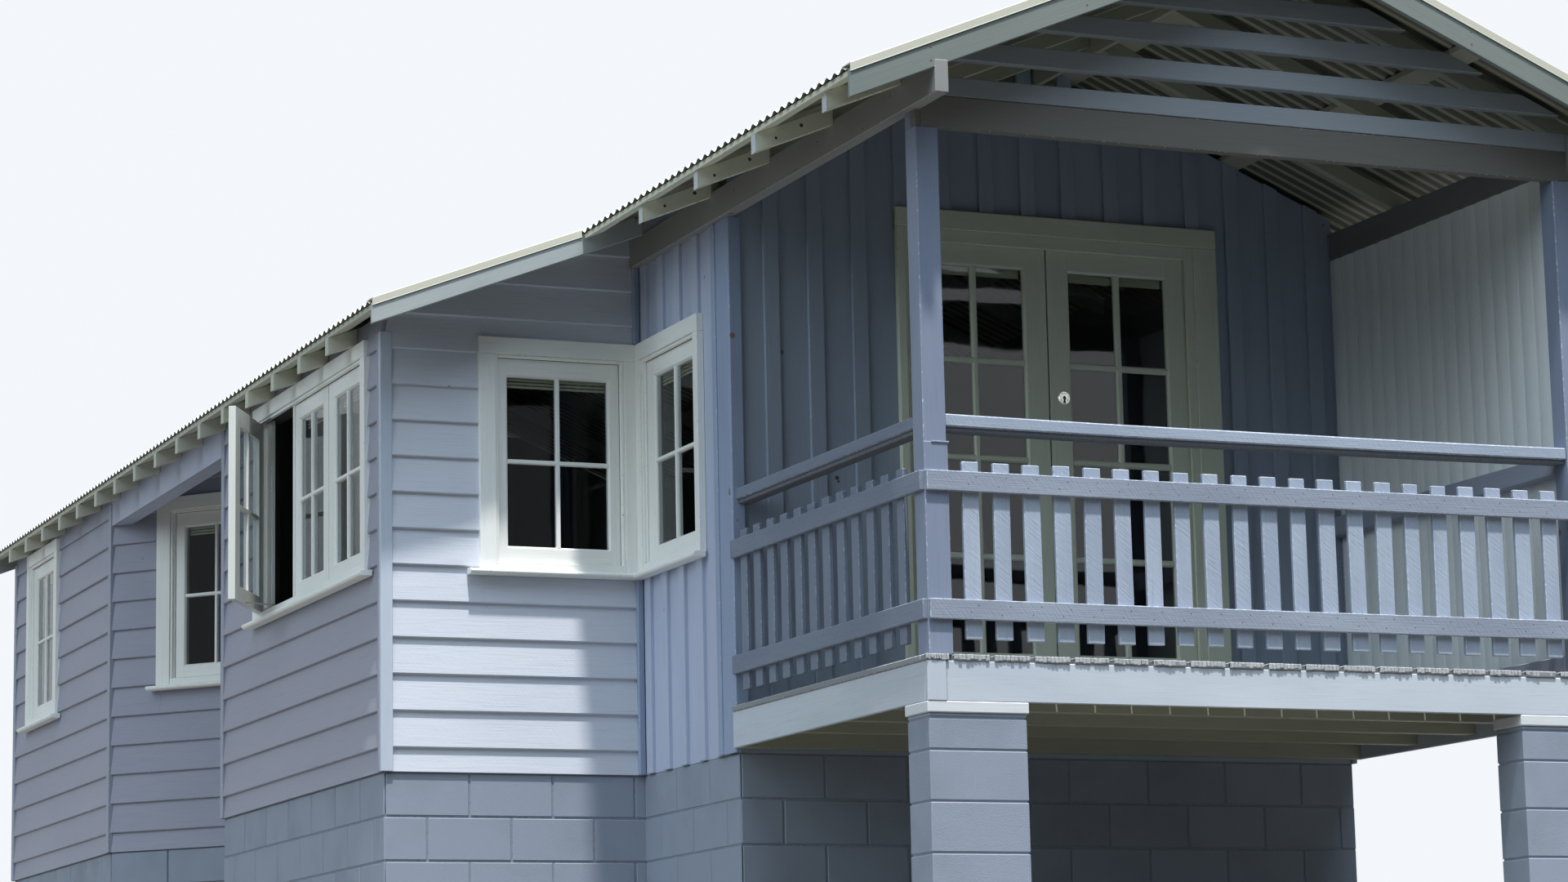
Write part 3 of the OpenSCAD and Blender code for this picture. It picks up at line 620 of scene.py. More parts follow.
# Greyer copy of the window paint for the open casement: painted shade.
SASH_SHADE = TRIM.tone("open_sash_paint", (0.66, 0.67, 0.63), (0.70, 0.71, 0.67), bare=(0.5, 0.49, 0.42))
DOOR = TRIM.tone("door_paint", (0.70, 0.73, 0.58), (0.76, 0.79, 0.64), bare=(0.55, 0.52, 0.42))
SCREEN = TRIM.tone("screen_paint", (0.88, 0.91, 0.90), (0.92, 0.94, 0.93), bare=(0.6, 0.6, 0.55), wear=0.15,
                   stains=0.06, roughness=0.45)
# Dark copy for the gable's front barge boards: painted shade. The next paint is that of the other barges.
BARGE_SHADE = Paint("barge_paint", (0.20, 0.23, 0.215), (0.24, 0.27, 0.25), (0.26, 0.24, 0.18), wear=0.25,
              grain=0.0005, roughness=0.5, sawn=0.0)
BARGE_LOW = BARGE_SHADE.tone("lower_barge_paint", (0.40, 0.44, 0.435), (0.46, 0.50, 0.49), bare=(0.36, 0.33, 0.25),
                       wear=0.2, stains=0.08)
# The roof timbers' paint in copies by place: this darker one is painted shade under the roof and the deck; the
# two lighter ones after it are painted light on the tails and battens outside the walls, the lean-to's less
# bright.
RAFTER_SHADE = Paint("rafter_paint", (0.36, 0.36, 0.28), (0.43, 0.43, 0.34), (0.32, 0.27, 0.18), grain=0.0007,
               roughness=0.6, sawn=0.1)
EAVE_LIT = RAFTER_SHADE.tone("eave_timber_paint", (0.90, 0.90, 0.72), (0.92, 0.92, 0.78), bare=(0.45, 0.40, 0.28),
                   wear=0.35, grain=0.0009, stains=0.14)
EAVE_LOW_LIT = EAVE_LIT.tone("lower_eave_timber_paint", (0.58, 0.58, 0.48), (0.64, 0.64, 0.54), bare=(0.42, 0.38, 0.28),
                     wear=0.3, stains=0.10)
# Pale bluish paint for plates on the veranda's tail ends: painted sunlight.
TAIL_END_LIT = RAFTER_SHADE.tone("tail_end_paint", (0.66, 0.68, 0.70), (0.74, 0.76, 0.78), bare=(0.45, 0.43, 0.36), wear=0.4,
                   grain=0.0010, sawn=0.2)
DECKING = Paint("deck_paint", (0.23, 0.24, 0.26), (0.29, 0.30, 0.32), (0.55, 0.55, 0.53), wear=0.8,
                grain=0.0014, roughness=0.7)
BOARD_END = Paint("board_ends", (0.40, 0.415, 0.43), (0.56, 0.57, 0.58), (0.20, 0.20, 0.20), 0.6, 0.003)
BLIND = Paint("blind_edge", (0.42, 0.40, 0.27), (0.48, 0.45, 0.32), (0.3, 0.27, 0.2), 0.1, 0.0002)
ROOF = SheetMetal("roof_sheet", (0.415, 0.41, 0.365), (0.28, 0.255, 0.20))
# A pale copy for the sheets' eave strip: painted sunlight. The two after it are painted shade on the underside:
# dimmer in the hollows, near black on the crests.
ROOF_EDGE_LIT = SheetMetal("roof_sheet_edge", (0.88, 0.87, 0.80), (0.6, 0.57, 0.46), 0.2)
ROOF_BELOW_SHADE = SheetMetal("roof_sheet_hollows_below", (0.36, 0.35, 0.26), (0.2, 0.18, 0.12), 0.5)
ROOF_UNDER_SHADE = SheetMetal("roof_sheet_underside", (0.10, 0.10, 0.075), (0.06, 0.055, 0.04), 0.5)
CAP_SHEET = SheetMetal("ridge_cap_sheet", (0.43, 0.425, 0.375), (0.30, 0.275, 0.215), 0.3)
FLASHING = SheetMetal("flashing_sheet", (0.68, 0.665, 0.55), (0.46, 0.42, 0.28), 0.3)
BLOCK = Masonry("block_paint")
MORTAR = Masonry("mortar_paint", (0.25, 0.285, 0.36))
JOINTS = Plain("foundation_joints", (0.24, 0.28, 0.34), roughness=0.8)
GLASS = Glazing("window_glass_clear")
DOOR_GLASS = Glazing("door_glass_clear", 1.46)
KNOT = Plain("wood_knots", (0.075, 0.05, 0.03), roughness=0.7)
NAIL = Plain("nail_heads", (0.17, 0.11, 0.07), 0.6)
HINGE = Plain("hinge_steel", (0.42, 0.41, 0.38), 0.8, 0.45)
LOCK = Plain("lock_plate", (0.86, 0.86, 0.80), 1.0, 0.26)
# Near-black paint of the keyhole's disc and slot: painted shade of a hole.
KEYHOLE_SHADE = Plain("keyhole_dark", (0.02, 0.02, 0.02))
FLOOR = FloorStain("floor_boards")
LINING = LiningPaint("nook_lining_paint")
STUDIO_FLOOR = PaleFloor("floor_pale")


class Joiner:
    """Collects bars and sheets of one piece, then turns them into a mesh."""

    def __init__(self, name: str, seed: int = 1, ease: float = 0.002) -> None:
        """Starts an empty piece.

        Args:
            name: The piece's name.
            seed: Seed of its small irregularities.
            ease: How far its edges are eased, in metres.
        """
        self.name = name
        self.ease = ease
        self.rng = random.Random(seed)
        self.points: list[Vector] = []
        self.board: list[Vector] = []
        self.faces: list[tuple[int, ...]] = []
        self.edge: list[float] = []
        self.slots: list[int] = []

    def add(self, points: Sequence[Vector], board: Sequence[Vector], faces: Sequence[tuple[int, ...]],
            edge: Sequence[float], slot: int = 0) -> None:
        """Adds a closed shape, its faces turned outwards.

        Args:
            points: Its corners.
            board: Each corner's place along, across and through the board.
            faces: Its faces, as indices into points.
            edge: For each face, 1 where it is an eased edge.
            slot: Which of the piece's finishes it has.
        """
        volume = 0.0
        for face in faces:
            for i in range(1, len(face) - 1):
                volume += points[face[0]].dot(points[face[i]].cross(points[face[i + 1]]))
        base = len(self.points)
        shift = Vector([self.rng.uniform(0, 40) for _ in range(3)])
        self.points.extend(points)
        self.board.extend(p + shift for p in board)
        self.faces.extend(tuple(base + i for i in (face if volume > 0 else face[::-1])) for face in faces)
        self.edge.extend(edge)
        self.slots.extend([slot] * len(faces))

    @staticmethod
    def eased(outline: Sequence[Point], ease: float) -> tuple[list[Point], list[Point]]:
        """Eases the corners of a section.

        Args:
            outline: Its corners.
            ease: How far they are eased.

        Returns:
            Two points beside each corner for the bar's length, and one inside it for the bar's ends.
        """
        area = sum(a[0] * b[1] - b[0] * a[1] for a, b in zip(outline, [*outline[1:], outline[0]]))
        side = 1.0 if area > 0 else -1.0
        ring: list[Point] = []
        corner: list[Point] = []
        for (pu, pv), (u, v), (nu, nv) in zip([outline[-1], *outline], outline, [*outline[1:], outline[0]]):
            back = Vector((pu - u, pv - v)).normalized()
            on = Vector((nu - u, nv - v)).normalized()
            ring += [(u + ease * back.x, v + ease * back.y), (u + ease * on.x, v + ease * on.y)]
            n_back = Vector((back.y, -back.x)) * side
            n_on = Vector((-on.y, on.x)) * side
            share = ease / max(0.35, 1 + n_back.dot(n_on))
            corner.append((u + share * (n_back.x + n_on.x), v + share * (n_back.y + n_on.y)))
        return ring, corner

    def bar(self, outline: Sequence[Point], axis: Axis, start: End, stop: End,
            place: Matrix = Matrix.Identity(4),
            turn: Optional[float] = None, slot: int = 0, ease: Optional[float] = None, cuts: int = 1,
            bend: Optional[Callable[[Vector], Vector]] = None) -> None:
        """Adds a straight bar, all of its edges eased.

        Args:
            outline: Corners of its section, in the two axes across it.
            axis: The axis that it runs along.
            start: Where it starts, as a number or worked out from a place in the section.
            stop: Where it stops, in the same way.
            place: The frame that the bar is drawn in.
            turn: Angle of the grain in the section's plane; none means along the bar.
            slot: Which of the piece's finishes it has.
            ease: How far its edges are eased.
            cuts: How many lengths it has, where it bends.
            bend: Moves each point of the finished bar.
        """
        e = self.ease if ease is None else ease
        n, m = len(outline), 2 * len(outline)
        first = start if callable(start) else (lambda u, v: start)
        last = stop if callable(stop) else (lambda u, v: stop)
        ring, corner = self.eased(outline, e)
        local: list[Vector] = []
        for k in range(cuts + 1):
            for u, v in ring:
                a, b = first(u, v) + e, last(u, v) - e
                local.append(Vector((u, v, a + (b - a) * k / cuts)))
        local.extend(Vector((u, v, end(u, v))) for end in (first, last) for u, v in corner)
        faces = [(k * m + j, k * m + (j + 1) % m, (k + 1) * m + (j + 1) % m, (k + 1) * m + j)
                 for k in range(cuts) for j in range(m)]
        edge = [1.0 - j % 2 for _ in range(cuts) for j in range(m)]
        ends = (cuts + 1) * m
        for cap, low, way in ((ends, 0, 1), (ends + n, cuts * m, -1)):
            faces.append(tuple(range(cap, cap + n))[::-way])
            edge.append(0.0)
            for i in range(n):
                j = (i + 1) % n
                faces.append((cap + i, cap + j, low + 2 * j, low + 2 * i + 1)[::way])
                faces.append((cap + i, low + 2 * i + 1, low + 2 * i)[::way])
                edge += [1.0, 1.0]
        if turn is None:
            board = [Vector((p.z, p.x, p.y)) for p in local]
        else:
            c, s = math.cos(turn), math.sin(turn)
            board = [Vector((p.x * c + p.y * s, p.y * c - p.x * s, p.z)) for p in local]
        matrix = place @ axis.value
        points = [matrix @ p for p in local]
        self.add([bend(p) for p in points] if bend else points, board, faces, edge, slot)

    def box(self, lo: Sequence[float], hi: Sequence[float], axis: Axis, **options: object) -> None:
        """Adds a board between two corners, its grain along an axis."""
        u, v, w = {Axis.X: (1, 2, 0), Axis.Y: (0, 2, 1), Axis.Z: (0, 1, 2)}[axis]
        self.bar(rect(lo[u], lo[v], hi[u], hi[v]), axis, lo[w], hi[w], **options)

    def stud(self, at: Vector, way: Vector, radius: float, height: float, sides: int = 8,
             slot: int = 0) -> None:
        """Adds a small round head that stands on a surface.

        Args:
            at: Its middle on the surface.
            way: The direction that it stands out in.
            radius: Its radius.
            height: How far it stands out.
            sides: How many sides its outline has.
            slot: Which of the piece's finishes it has.
        """
        self.bar(round_outline(0, 0, radius, sides), Axis.Z, -height, height, place=facing(at, way), slot=slot,
                 ease=min(height, radius) * 0.4)

    def build(self, node: str, *finishes: Finish, body: Body = Body.HOUSE, stands: bool = True,
              smooth: bool = False) -> None:
        """Makes the mesh, puts it in the shared frame and hands it to its body.

        Args:
            node: The CAD node that it stands for, hidden if the piece replaces it.
            *finishes: The piece's finishes, in the order of its slots.
            body: The body that it rides on.
            stands: Whether it replaces the node.
            smooth: Whether its faces are shaded smooth.
        """
        mesh = bpy.data.meshes.new(self.name)
        mesh.from_pydata([p + HOME for p in self.points], [], self.faces)
        board = [c for p in self.board for c in p]
        mesh.attributes.new("board", "FLOAT_VECTOR", "POINT").data.foreach_set("vector", board)
        mesh.attributes.new("edge", "FLOAT", "FACE").data.foreach_set("value", self.edge)
        for finish in finishes:
            mesh.materials.append(finish.material())
        mesh.polygons.foreach_set("material_index", self.slots)
        if smooth:
            mesh.shade_smooth()
        mesh.update()
        declare(show(self.name, mesh), node, body, stands)


@dataclass(frozen=True)
class Plan:
    """The house's main lines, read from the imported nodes.

    Attributes:
        wing_w: Width of the gabled wing.
        door_y: Front face of the wall with the doors.
        lean_y: Front face of the lean-to.
        lean_x: Left face of the lean-to.
        nook_y0: Front end of the nook.
        nook_y1: Rear end of the nook.
        nook_x: Left face of the nook's back wall.
        rear_y: Face of the rear wall.
        ground: Height of the ground.
        foot: Foot of the walls.
        wall_t: Thickness of the walls.
        slant_deg: Turn of the nook's slanted wall.
        row_gap: From the nook's front end to the row of casements.
    """

    wing_w: float
    door_y: float
    lean_y: float
    lean_x: float
    nook_y0: float
    nook_y1: float
    nook_x: float
    rear_y: float
    ground: float
    foot: float
    wall_t: float
    slant_deg: float = 50.0
    row_gap: float = 0.731

    @classmethod
    def read(cls) -> "Plan":
        """Reads the lines from the frame.

        Returns:
            The plan.
        """
        door_lo, door_hi = span("wall_door_left")
        lean_lo, _ = span("wall_lean_front")
        wall_t = door_hi.y - door_lo.y
        return cls(wing_w=span("posts")[1].x, door_y=door_lo.y, lean_y=lean_lo.y, lean_x=lean_lo.x,
                   nook_y0=span("wall_lean_left")[1].y, nook_y1=span("wall_rear_left")[0].y,
                   nook_x=span("wall_nook")[1].x - wall_t, rear_y=span("wall_rear")[1].y,
                   ground=span("foundation")[0].z, foot=span("wall_right")[0].z, wall_t=wall_t)

    @property
    def slant(self) -> tuple[float, float]:
        """Gives how far the nook's slanted wall runs along X and along Y."""
        along = self.nook_x - self.lean_x
        return along, along * math.tan(math.radians(self.slant_deg))


@dataclass(frozen=True)
class RoofForm:
    """The roof's top lines across the house.

    Attributes:
        eave_x: Where the wing's left slope ends and the lean-to's starts.
        ridge_x: The ridge.
        right_x: The wing's right eave.
        lean_x: The lean-to's eave.
        eave_z: Height of the top line at the wing's eaves.
        wing_tan: Rise of the wing's slopes.
        lean_tan: Rise of the lean-to's slope.
        front_y: Front edge over the veranda.
        lean_front_y: Front edge over the lean-to.
        rear_y: Rear edge.
        sheet_t: Thickness of the flat plates that the sheets replace.
        under: How far below the top line the rafters' tops lie at a wall.
    """

    eave_x: float
    ridge_x: float
    right_x: float
    lean_x: float
    eave_z: float
    wing_tan: float
    lean_tan: float
    front_y: float
    lean_front_y: float
    rear_y: float
    sheet_t: float = 0.018
    under: float = 0.0439

    @classmethod
    def read(cls) -> "RoofForm":
        """Reads the lines from the roof's nodes.

        Returns:
            The roof's form.
        """
        wing_lo, wing_hi = span("roof_left")
        lean_lo, _ = span("roof_lean")
        eave_z = wing_lo.z + cls.sheet_t
        return cls(eave_x=wing_lo.x, ridge_x=wing_hi.x, right_x=span("roof_right")[1].x, lean_x=lean_lo.x,
                   eave_z=eave_z, wing_tan=(wing_hi.z - eave_z) / (wing_hi.x - wing_lo.x),
                   lean_tan=(eave_z - lean_lo.z - cls.sheet_t) / (wing_lo.x - lean_lo.x),
                   front_y=wing_lo.y, lean_front_y=lean_lo.y, rear_y=wing_hi.y)

    def top(self, x: float) -> float:
        """Gives the height of the sheets' top at x.

        Args:
            x: A place across the house.

        Returns:
            The height.
        """
        if x < self.eave_x:
            return self.eave_z + self.lean_tan * (x - self.eave_x)
        return self.eave_z + self.wing_tan * (min(x, 2 * self.ridge_x - x) - self.eave_x)

    def reach(self, z: float, drop: float) -> float:
        """Gives the x on the left slopes where a line under the roof, lower by drop, is at height z."""
        rise = z + drop - self.eave_z
        return self.eave_x + rise / (self.wing_tan if rise > 0 else self.lean_tan)

    def slope(self, side: Side) -> Matrix:
        """Gives the frame of a slope. A bar along its X has plumb ends, and its z starts at the roof's top.

        Args:
            side: The slope.

        Returns:
            A frame whose x stays level and whose z follows the slope.
        """
        rise = {Side.LEFT: self.wing_tan, Side.RIGHT: -self.wing_tan, Side.LEAN: self.lean_tan}[side]
        at = self.right_x if side is Side.RIGHT else self.eave_x
        return Matrix(((1, 0, 0, 0), (0, 1, 0, 0), (rise, 0, 1, self.eave_z - rise * at), (0, 0, 0, 1)))

    def edges(self) -> list[tuple[Side, float, float, float]]:
        """Lists the raking edges.

        Returns:
            Each one's slope, its two ends and where it is along the house.
        """
        wing = [(Side.LEFT, self.eave_x, self.ridge_x), (Side.RIGHT, self.ridge_x, self.right_x)]
        lean = (Side.LEAN, self.lean_x, self.eave_x)
        return [*((*run, self.front_y) for run in wing), (*lean, self.lean_front_y),
                *((*run, self.rear_y) for run in (lean, *wing))]


@dataclass
class Base:
    """Block foundation, corner piers, deck and floors.

    Attributes:
        block: Length, height and joint of the blocks.
        proud: How far the blocks stand out from their joints.
        pier: Width of a pier, thickness of its cap and how far the cap stands out.
        deck_pitch: Spacing of the deck boards.
        deck_first: Middle of the first gap between them.
        deck_gap: Gap between them.
        skin: Thickness of the fascia.
    """

    plan: Plan
    block: tuple[float, float, float] = (0.40, 0.20, 0.010)
    proud: float = 0.004
    pier: tuple[float, float, float] = (0.424, 0.045, 0.008)
    deck_pitch: float = 0.1755
    deck_first: float = 0.082
    deck_gap: float = 0.023
    skin: float = 0.022

    def build(self) -> None:
        """Builds the base's pieces."""
        self.foundation()
        self.piers()
        self.deck()
        self.fascia()
        repaint("house_floor", FLOOR.material())

    def courses(self, work: Joiner, place: Matrix, length: float, low: float, high: float,
                depth: float) -> None:
        """Lays blocks in stretcher bond over a wall's face.

        Args:
            work: The piece to add to.
            place: The face's frame: x along it, y inward, z up.
            length: The face's length.
            low: The lowest course's foot.
            high: The top course's top.
            depth: How far the blocks reach into the wall.
        """
        long, tall, joint = self.block
        count = max(1, round((high - low) / tall))
        pitch = (high - low) / count
        for row in range(count):
            z0 = low + row * pitch + joint / 2
            x = -long / 2 if row % 2 else 0.0
            while x < length:
                a, b = max(0.0, x + joint / 2), min(length, x + long - joint / 2)
                if b - a > 0.03:
                    work.box((a, -self.proud, z0), (b, depth, z0 + pitch - joint), Axis.X, place=place)
                x += long

    def foundation(self) -> None:
        """Lays the painted blocks over the foundation's faces."""
        p = self.plan
        lo, hi = span("foundation")
        inset = lo.x - p.lean_x
        left, right, rear = p.lean_x + inset, p.wing_w - inset, p.rear_y - inset
        along, across = p.slant
        work = Joiner("foundation_blocks", 3, ease=0.003)
        for x, y, degrees, length in (
                (inset, p.door_y + inset, 0.0, p.wing_w - 2 * inset),
                (inset, p.lean_y + inset, -90.0, p.lean_y - p.door_y),
                (left, p.lean_y + inset, 0.0, -p.lean_x),
                (left, p.nook_y0 - inset, -90.0, p.nook_y0 - p.lean_y - 2 * inset),
                (p.nook_x + inset, p.nook_y0 - inset, 180.0, along),
                (p.nook_x + inset, p.nook_y1 - across, -90.0, p.nook_y1 - across - p.nook_y0 + inset),
                (left, p.nook_y1, -p.slant_deg, math.hypot(along, across)),
                (left, rear, -90.0, p.rear_y - p.nook_y1 - inset),
                (right, rear, 180.0, p.wing_w - p.lean_x - 2 * inset),
                (right, p.door_y + inset, 90.0, p.rear_y - p.door_y - 2 * inset)):
            self.courses(work, turned(x, y, degrees), length, p.ground, hi.z, 0.02)
        work.build("foundation", BLOCK, stands=False)
        repaint("foundation", JOINTS.material())

    def piers(self) -> None:
        """Builds the two block piers with their caps."""
        lo, hi = span("piers")
        width, cap, out = self.pier
        back = 0.004
        work = Joiner("pier_blocks", 4, ease=0.004)
        for x in (lo.x + out, hi.x - out - width):
            z = hi.z - cap
            work.box((x - out, lo.y, z), (x + width + out, hi.y, hi.z), Axis.X, slot=1)
            work.box((x + back, lo.y + out + back, lo.z), (x + width - back, hi.y - out - back, z), Axis.Z,
                     slot=2)
            heights = [0.022, 0.125]
            while z > lo.z + 0.02:
                tall = min(heights.pop(0) if heights else self.block[1], z - lo.z)
                work.box((x, lo.y + out, z - tall + 0.006), (x + width, hi.y - out, z), Axis.X)
                z -= tall
        work.build("piers", BLOCK, CAP, MORTAR)

    def deck(self) -> None:
        """Lays the deck boards with worn, ragged ends."""
        lo, hi = span("deck")
        work = Joiner("deck_boards", 5, ease=0.004)
        count = int((hi.x - self.deck_first) / self.deck_pitch) + 1
        gaps = [self.deck_first + i * self.deck_pitch + work.rng.uniform(-0.004, 0.004) for i in range(count)]
        half, splinters = self.deck_gap / 2, 9
        tight = half - 0.003
        for x0, x1 in zip([lo.x, *[x + half for x in gaps]], [*[x - half for x in gaps], hi.x]):
            ragged = self.ragged_end(lo.y, work.rng)
            work.bar(rect(x0, lo.z, x1, hi.z), Axis.Y, ragged, lo.y + 0.0605)
            work.box((max(x0 - tight, lo.x), lo.y + 0.06, lo.z), (min(x1 + tight, hi.x), hi.y, hi.z), Axis.Y)
            for part in range(splinters):
                a, b = (x0 + (x1 - x0) * k / splinters for k in (part, part + 1))
                out, down = work.rng.uniform(0.0, 0.006), work.rng.uniform(0.0, 0.006)
                work.box((a, lo.y + out, lo.z + down), (b, lo.y + 0.02, hi.z + 0.0005), Axis.Y, slot=1,
                         ease=0.003)
        work.build("deck", DECKING, BOARD_END)

    def fascia(self) -> None:
        """Builds the deck's fascia and the joists behind it."""
        lo, hi = span("deck_frame")
        skin, corner, joist = self.skin, 0.085, 0.045
        work = Joiner("deck_fascia", 6, ease=0.003)
        work.box((lo.x + corner, lo.y, lo.z), (hi.x, lo.y + skin, hi.z), Axis.X)
        work.box((lo.x, lo.y - 0.004, lo.z), (lo.x + corner - 0.002, lo.y + skin, hi.z), Axis.Z)
        for x in (lo.x, hi.x - skin):
            work.box((x, lo.y + skin + 0.001, lo.z), (x + skin, hi.y, hi.z), Axis.Y)
        y = 0.0
        while y < hi.y - 2 * joist:
            work.box((lo.x + skin, y, lo.z + 0.02), (hi.x - skin, y + joist, hi.z), Axis.X, slot=1)
            y += 0.48
        work.box((lo.x + skin, hi.y - joist, lo.z), (hi.x - skin, hi.y, hi.z), Axis.X, slot=1)
        # The joists take the timbers' darker copy: painted shade under the deck.
        work.build("deck_frame", FASCIA, RAFTER_SHADE)

    @staticmethod
    def ragged_end(y: float, rng: random.Random) -> Callable[[float, float], float]:
        """Gives a board's end that is a little out of square.

        Args:
            y: Where it would end.
            rng: The piece's random numbers.

        Returns:
            A function that gives the end at a place in the board's section.
        """
        skew = rng.uniform(-0.02, 0.02)
        back = rng.uniform(0.004, 0.008)
        return lambda u, v: y + back + abs(skew) * 0.1 + skew * 0.1 * v


@dataclass
class Veranda:
    """Posts, rails, pickets, beams, gable slats and the side screen.

    Attributes:
        picket: Width, thickness and top of a picket.
        picket_shift: How far it stands beside its even spacing.
        rail_t: Thickness of the picket rails.
        rail_h: Their height.
        rails: Their tops.
        hand: The handrail's top, its thickness and how far it stands back from the posts' faces.
        beam: Width of the side beams.
        slat: Height and spacing of the gable's slats.
        rib: Spacing of the screen's ribs.
    """

    plan: Plan
    roof: RoofForm
    picket: tuple[float, float, float] = (0.070, 0.020, 0.771)
    picket_shift: float = 0.005
    rail_t: float = 0.022
    rail_h: float = 0.080
    rails: tuple[float, float] = (0.728, 0.219)
    hand: tuple[float, float, float] = (0.961, 0.050, 0.008)
    beam: float = 0.058
    slat: tuple[float, float] = (0.080, 0.156)
    rib: float = 0.102

    def build(self) -> None:
        """Builds the veranda's pieces."""
        self.posts()
        self.front_rails()
        self.left_rails()
        self.beams()
        self.slats()
        self.screen()

    def posts(self) -> None:
        """Builds the two posts, the left one with its thicker foot."""
        lo, hi = span("posts")
        post = hi.y - lo.y
        beam_lo, beam_hi = span("beam_front")
        work = Joiner("veranda_posts", 11, ease=0.004)
        for x in (lo.x, hi.x - post):
            work.box((x, lo.y, lo.z), (x + post, hi.y, beam_lo.z), Axis.Z)
            work.box((x, beam_hi.y, beam_lo.z - 0.004), (x + post, hi.y, hi.z), Axis.Z)
        sleeve, top = 0.004, 0.845
        side, front = lo.x + post, lo.y - sleeve
        work.box((lo.x - 0.001, front, lo.z), (side + sleeve, lo.y + 0.02, top), Axis.Z)
        work.box((side - 0.02, front + 0.001, lo.z), (side + sleeve, hi.y - 0.01, top - 0.004), Axis.Z)
        work.box((lo.x + 0.03, lo.y - 0.008, top - 0.006), (side + 0.008, lo.y + 0.01, top + 0.002), Axis.X,
                 ease=0.002)
        # The posts' darker paint is painted shade.
        work.build("posts", POST_SHADE)

    def pickets(self, work: Joiner, place: Matrix, first: float, last: float, count: int, low: float) -> None:
        """Sets a row of pickets, each a little unlike the next, and drives two nails into each at each rail.

        Args:
            work: The piece to add to.
            place: The row's frame: x along it, y inward.
            first: Middle of the first picket.
            last: Middle of the last picket.
            count: How many there are.
            low: Their feet.
        """
        wide, thick, high = self.picket
        middles = [first + i * (last - first) / (count - 1) for i in range(count)]
        tall = (high - low) / 2
        for x in middles:
            lean = Matrix.Rotation(math.radians(work.rng.uniform(-0.35, 0.35)), 4, "Y")
            half = wide / 2 + work.rng.uniform(-0.002, 0.002)
            middle = Matrix.Translation((x + self.picket_shift, 0.0005, (low + high) / 2))
            foot = -tall + work.rng.uniform(0, 0.004)
            work.box((-half, 0, foot), (half, thick, tall - work.rng.uniform(0, 0.004)),
                     Axis.Z, place=place @ middle @ lean)
        out = place.to_3x3() @ Vector((0, -1, 0))
        for x in middles:
            for top in self.rails:
                for k in (-1, 1):
                    across = x + k * 0.018 + work.rng.uniform(-0.004, 0.004)
                    up = top - self.rail_h / 2 + k * 0.016 + work.rng.uniform(-0.004, 0.004)
                    work.stud(place @ Vector((across, -self.rail_t, up)), out, 0.0028, 0.0006, 6, slot=1)

    def front_rails(self) -> None:
        """Builds the front's handrail, picket rails and pickets."""
        lo, _ = span("rail_front")
        wide = self.plan.wing_w
        post = span("posts")[1].y
        top, thick, inside = self.hand
        low = top - thick
        work = Joiner("rail_front_boards", 12, ease=0.003)
        self.pickets(work, Matrix.Identity(4), 0.195, wide - 0.215, 21, lo.z)
        for z in self.rails:
            work.box((lo.x, -self.rail_t, z - self.rail_h), (wide, 0, z), Axis.X, cuts=12,
                     bend=sag(wide, 0.003), slot=3)
        bent = {"cuts": 16, "bend": sag(wide, 0.008)}
        work.box((post + 0.001, inside, low), (wide - post, post - inside, top), Axis.X, ease=0.005, **bent)
        # A near-black strip under the handrail: painted shade.
        inside += 0.012
        work.box((post + 0.002, inside, low - 0.018), (wide - post, post - inside, low + 0.002), Axis.X,
                 slot=2, **bent)
        work.build("rail_front", RAIL, NAIL, RAIL_UNDER_SHADE, RAIL_BAR)

    def left_rails(self) -> None:
        """Builds the left side's handrail, picket rails and pickets."""
        deep = self.plan.door_y
        post = span("posts")[1].y
        top, thick, inside = self.hand
        low = top - thick
        work = Joiner("rail_left_boards", 13, ease=0.003)
        self.pickets(work, turned(0, deep, -90), 0.095, deep - 0.243, 12, span("rail_left")[0].z)
        for z in self.rails:
            work.box((-self.rail_t, 0, z - self.rail_h), (0, deep, z), Axis.Y)
        work.box((inside, post, low), (post - inside, deep, top), Axis.Y, ease=0.005)
        # A near-black strip under the handrail: painted shade.
        inside += 0.012
        work.box((inside, post, low - 0.018), (post - inside, deep, low + 0.002), Axis.Y, slot=2)
        # The left side's darker rail paint is painted shade.
        work.build("rail_left", RAIL_SIDE_SHADE, NAIL, RAIL_UNDER_SHADE)

    def beams(self) -> None:
        """Builds the side beams and the notched front beam."""
        lo, hi = span("side_beams")
        left, right = lo.x + self.beam, hi.x - self.beam
        work = Joiner("veranda_side_beams", 14, ease=0.003)
        work.box(lo, (left, hi.y, hi.z), Axis.Y)
        # Slot 2, the right side beam, has a dark copy of the paint: painted shade.
        work.box((right, lo.y, lo.z), (hi.x, self.plan.door_y, hi.z), Axis.Y, slot=2)
        for y, z in ((0.151, 2.279), (0.43, 2.21), (0.895, 2.265), (1.13, 2.20), (1.476, 2.197), (1.82, 2.27)):
            work.stud(Vector((lo.x, y, z)), Vector((-1, 0, 0)), 0.0055, 0.0008, slot=1)
        work.build("side_beams", SIDE_BEAM, NAIL, RIGHT_BEAM_SHADE)
        front_lo, front_hi = span("beam_front")
        bend = sag(self.plan.wing_w, 0.004)
        work = Joiner("veranda_front_beam", 15, ease=0.003)
        work.box((left, front_lo.y, front_lo.z), (right, front_hi.y, front_hi.z), Axis.X, cuts=10, bend=bend)
        for x0, x1 in ((front_lo.x, left - 0.0002), (right + 0.0002, front_hi.x)):
            work.box((x0, front_lo.y + 0.0005, front_lo.z + 0.0005), (x1, front_hi.y, lo.z), Axis.X, ease=0.001)
        # The front beam's near-black paint is painted shade.
        work.build("beam_front", FRONT_BEAM_SHADE)

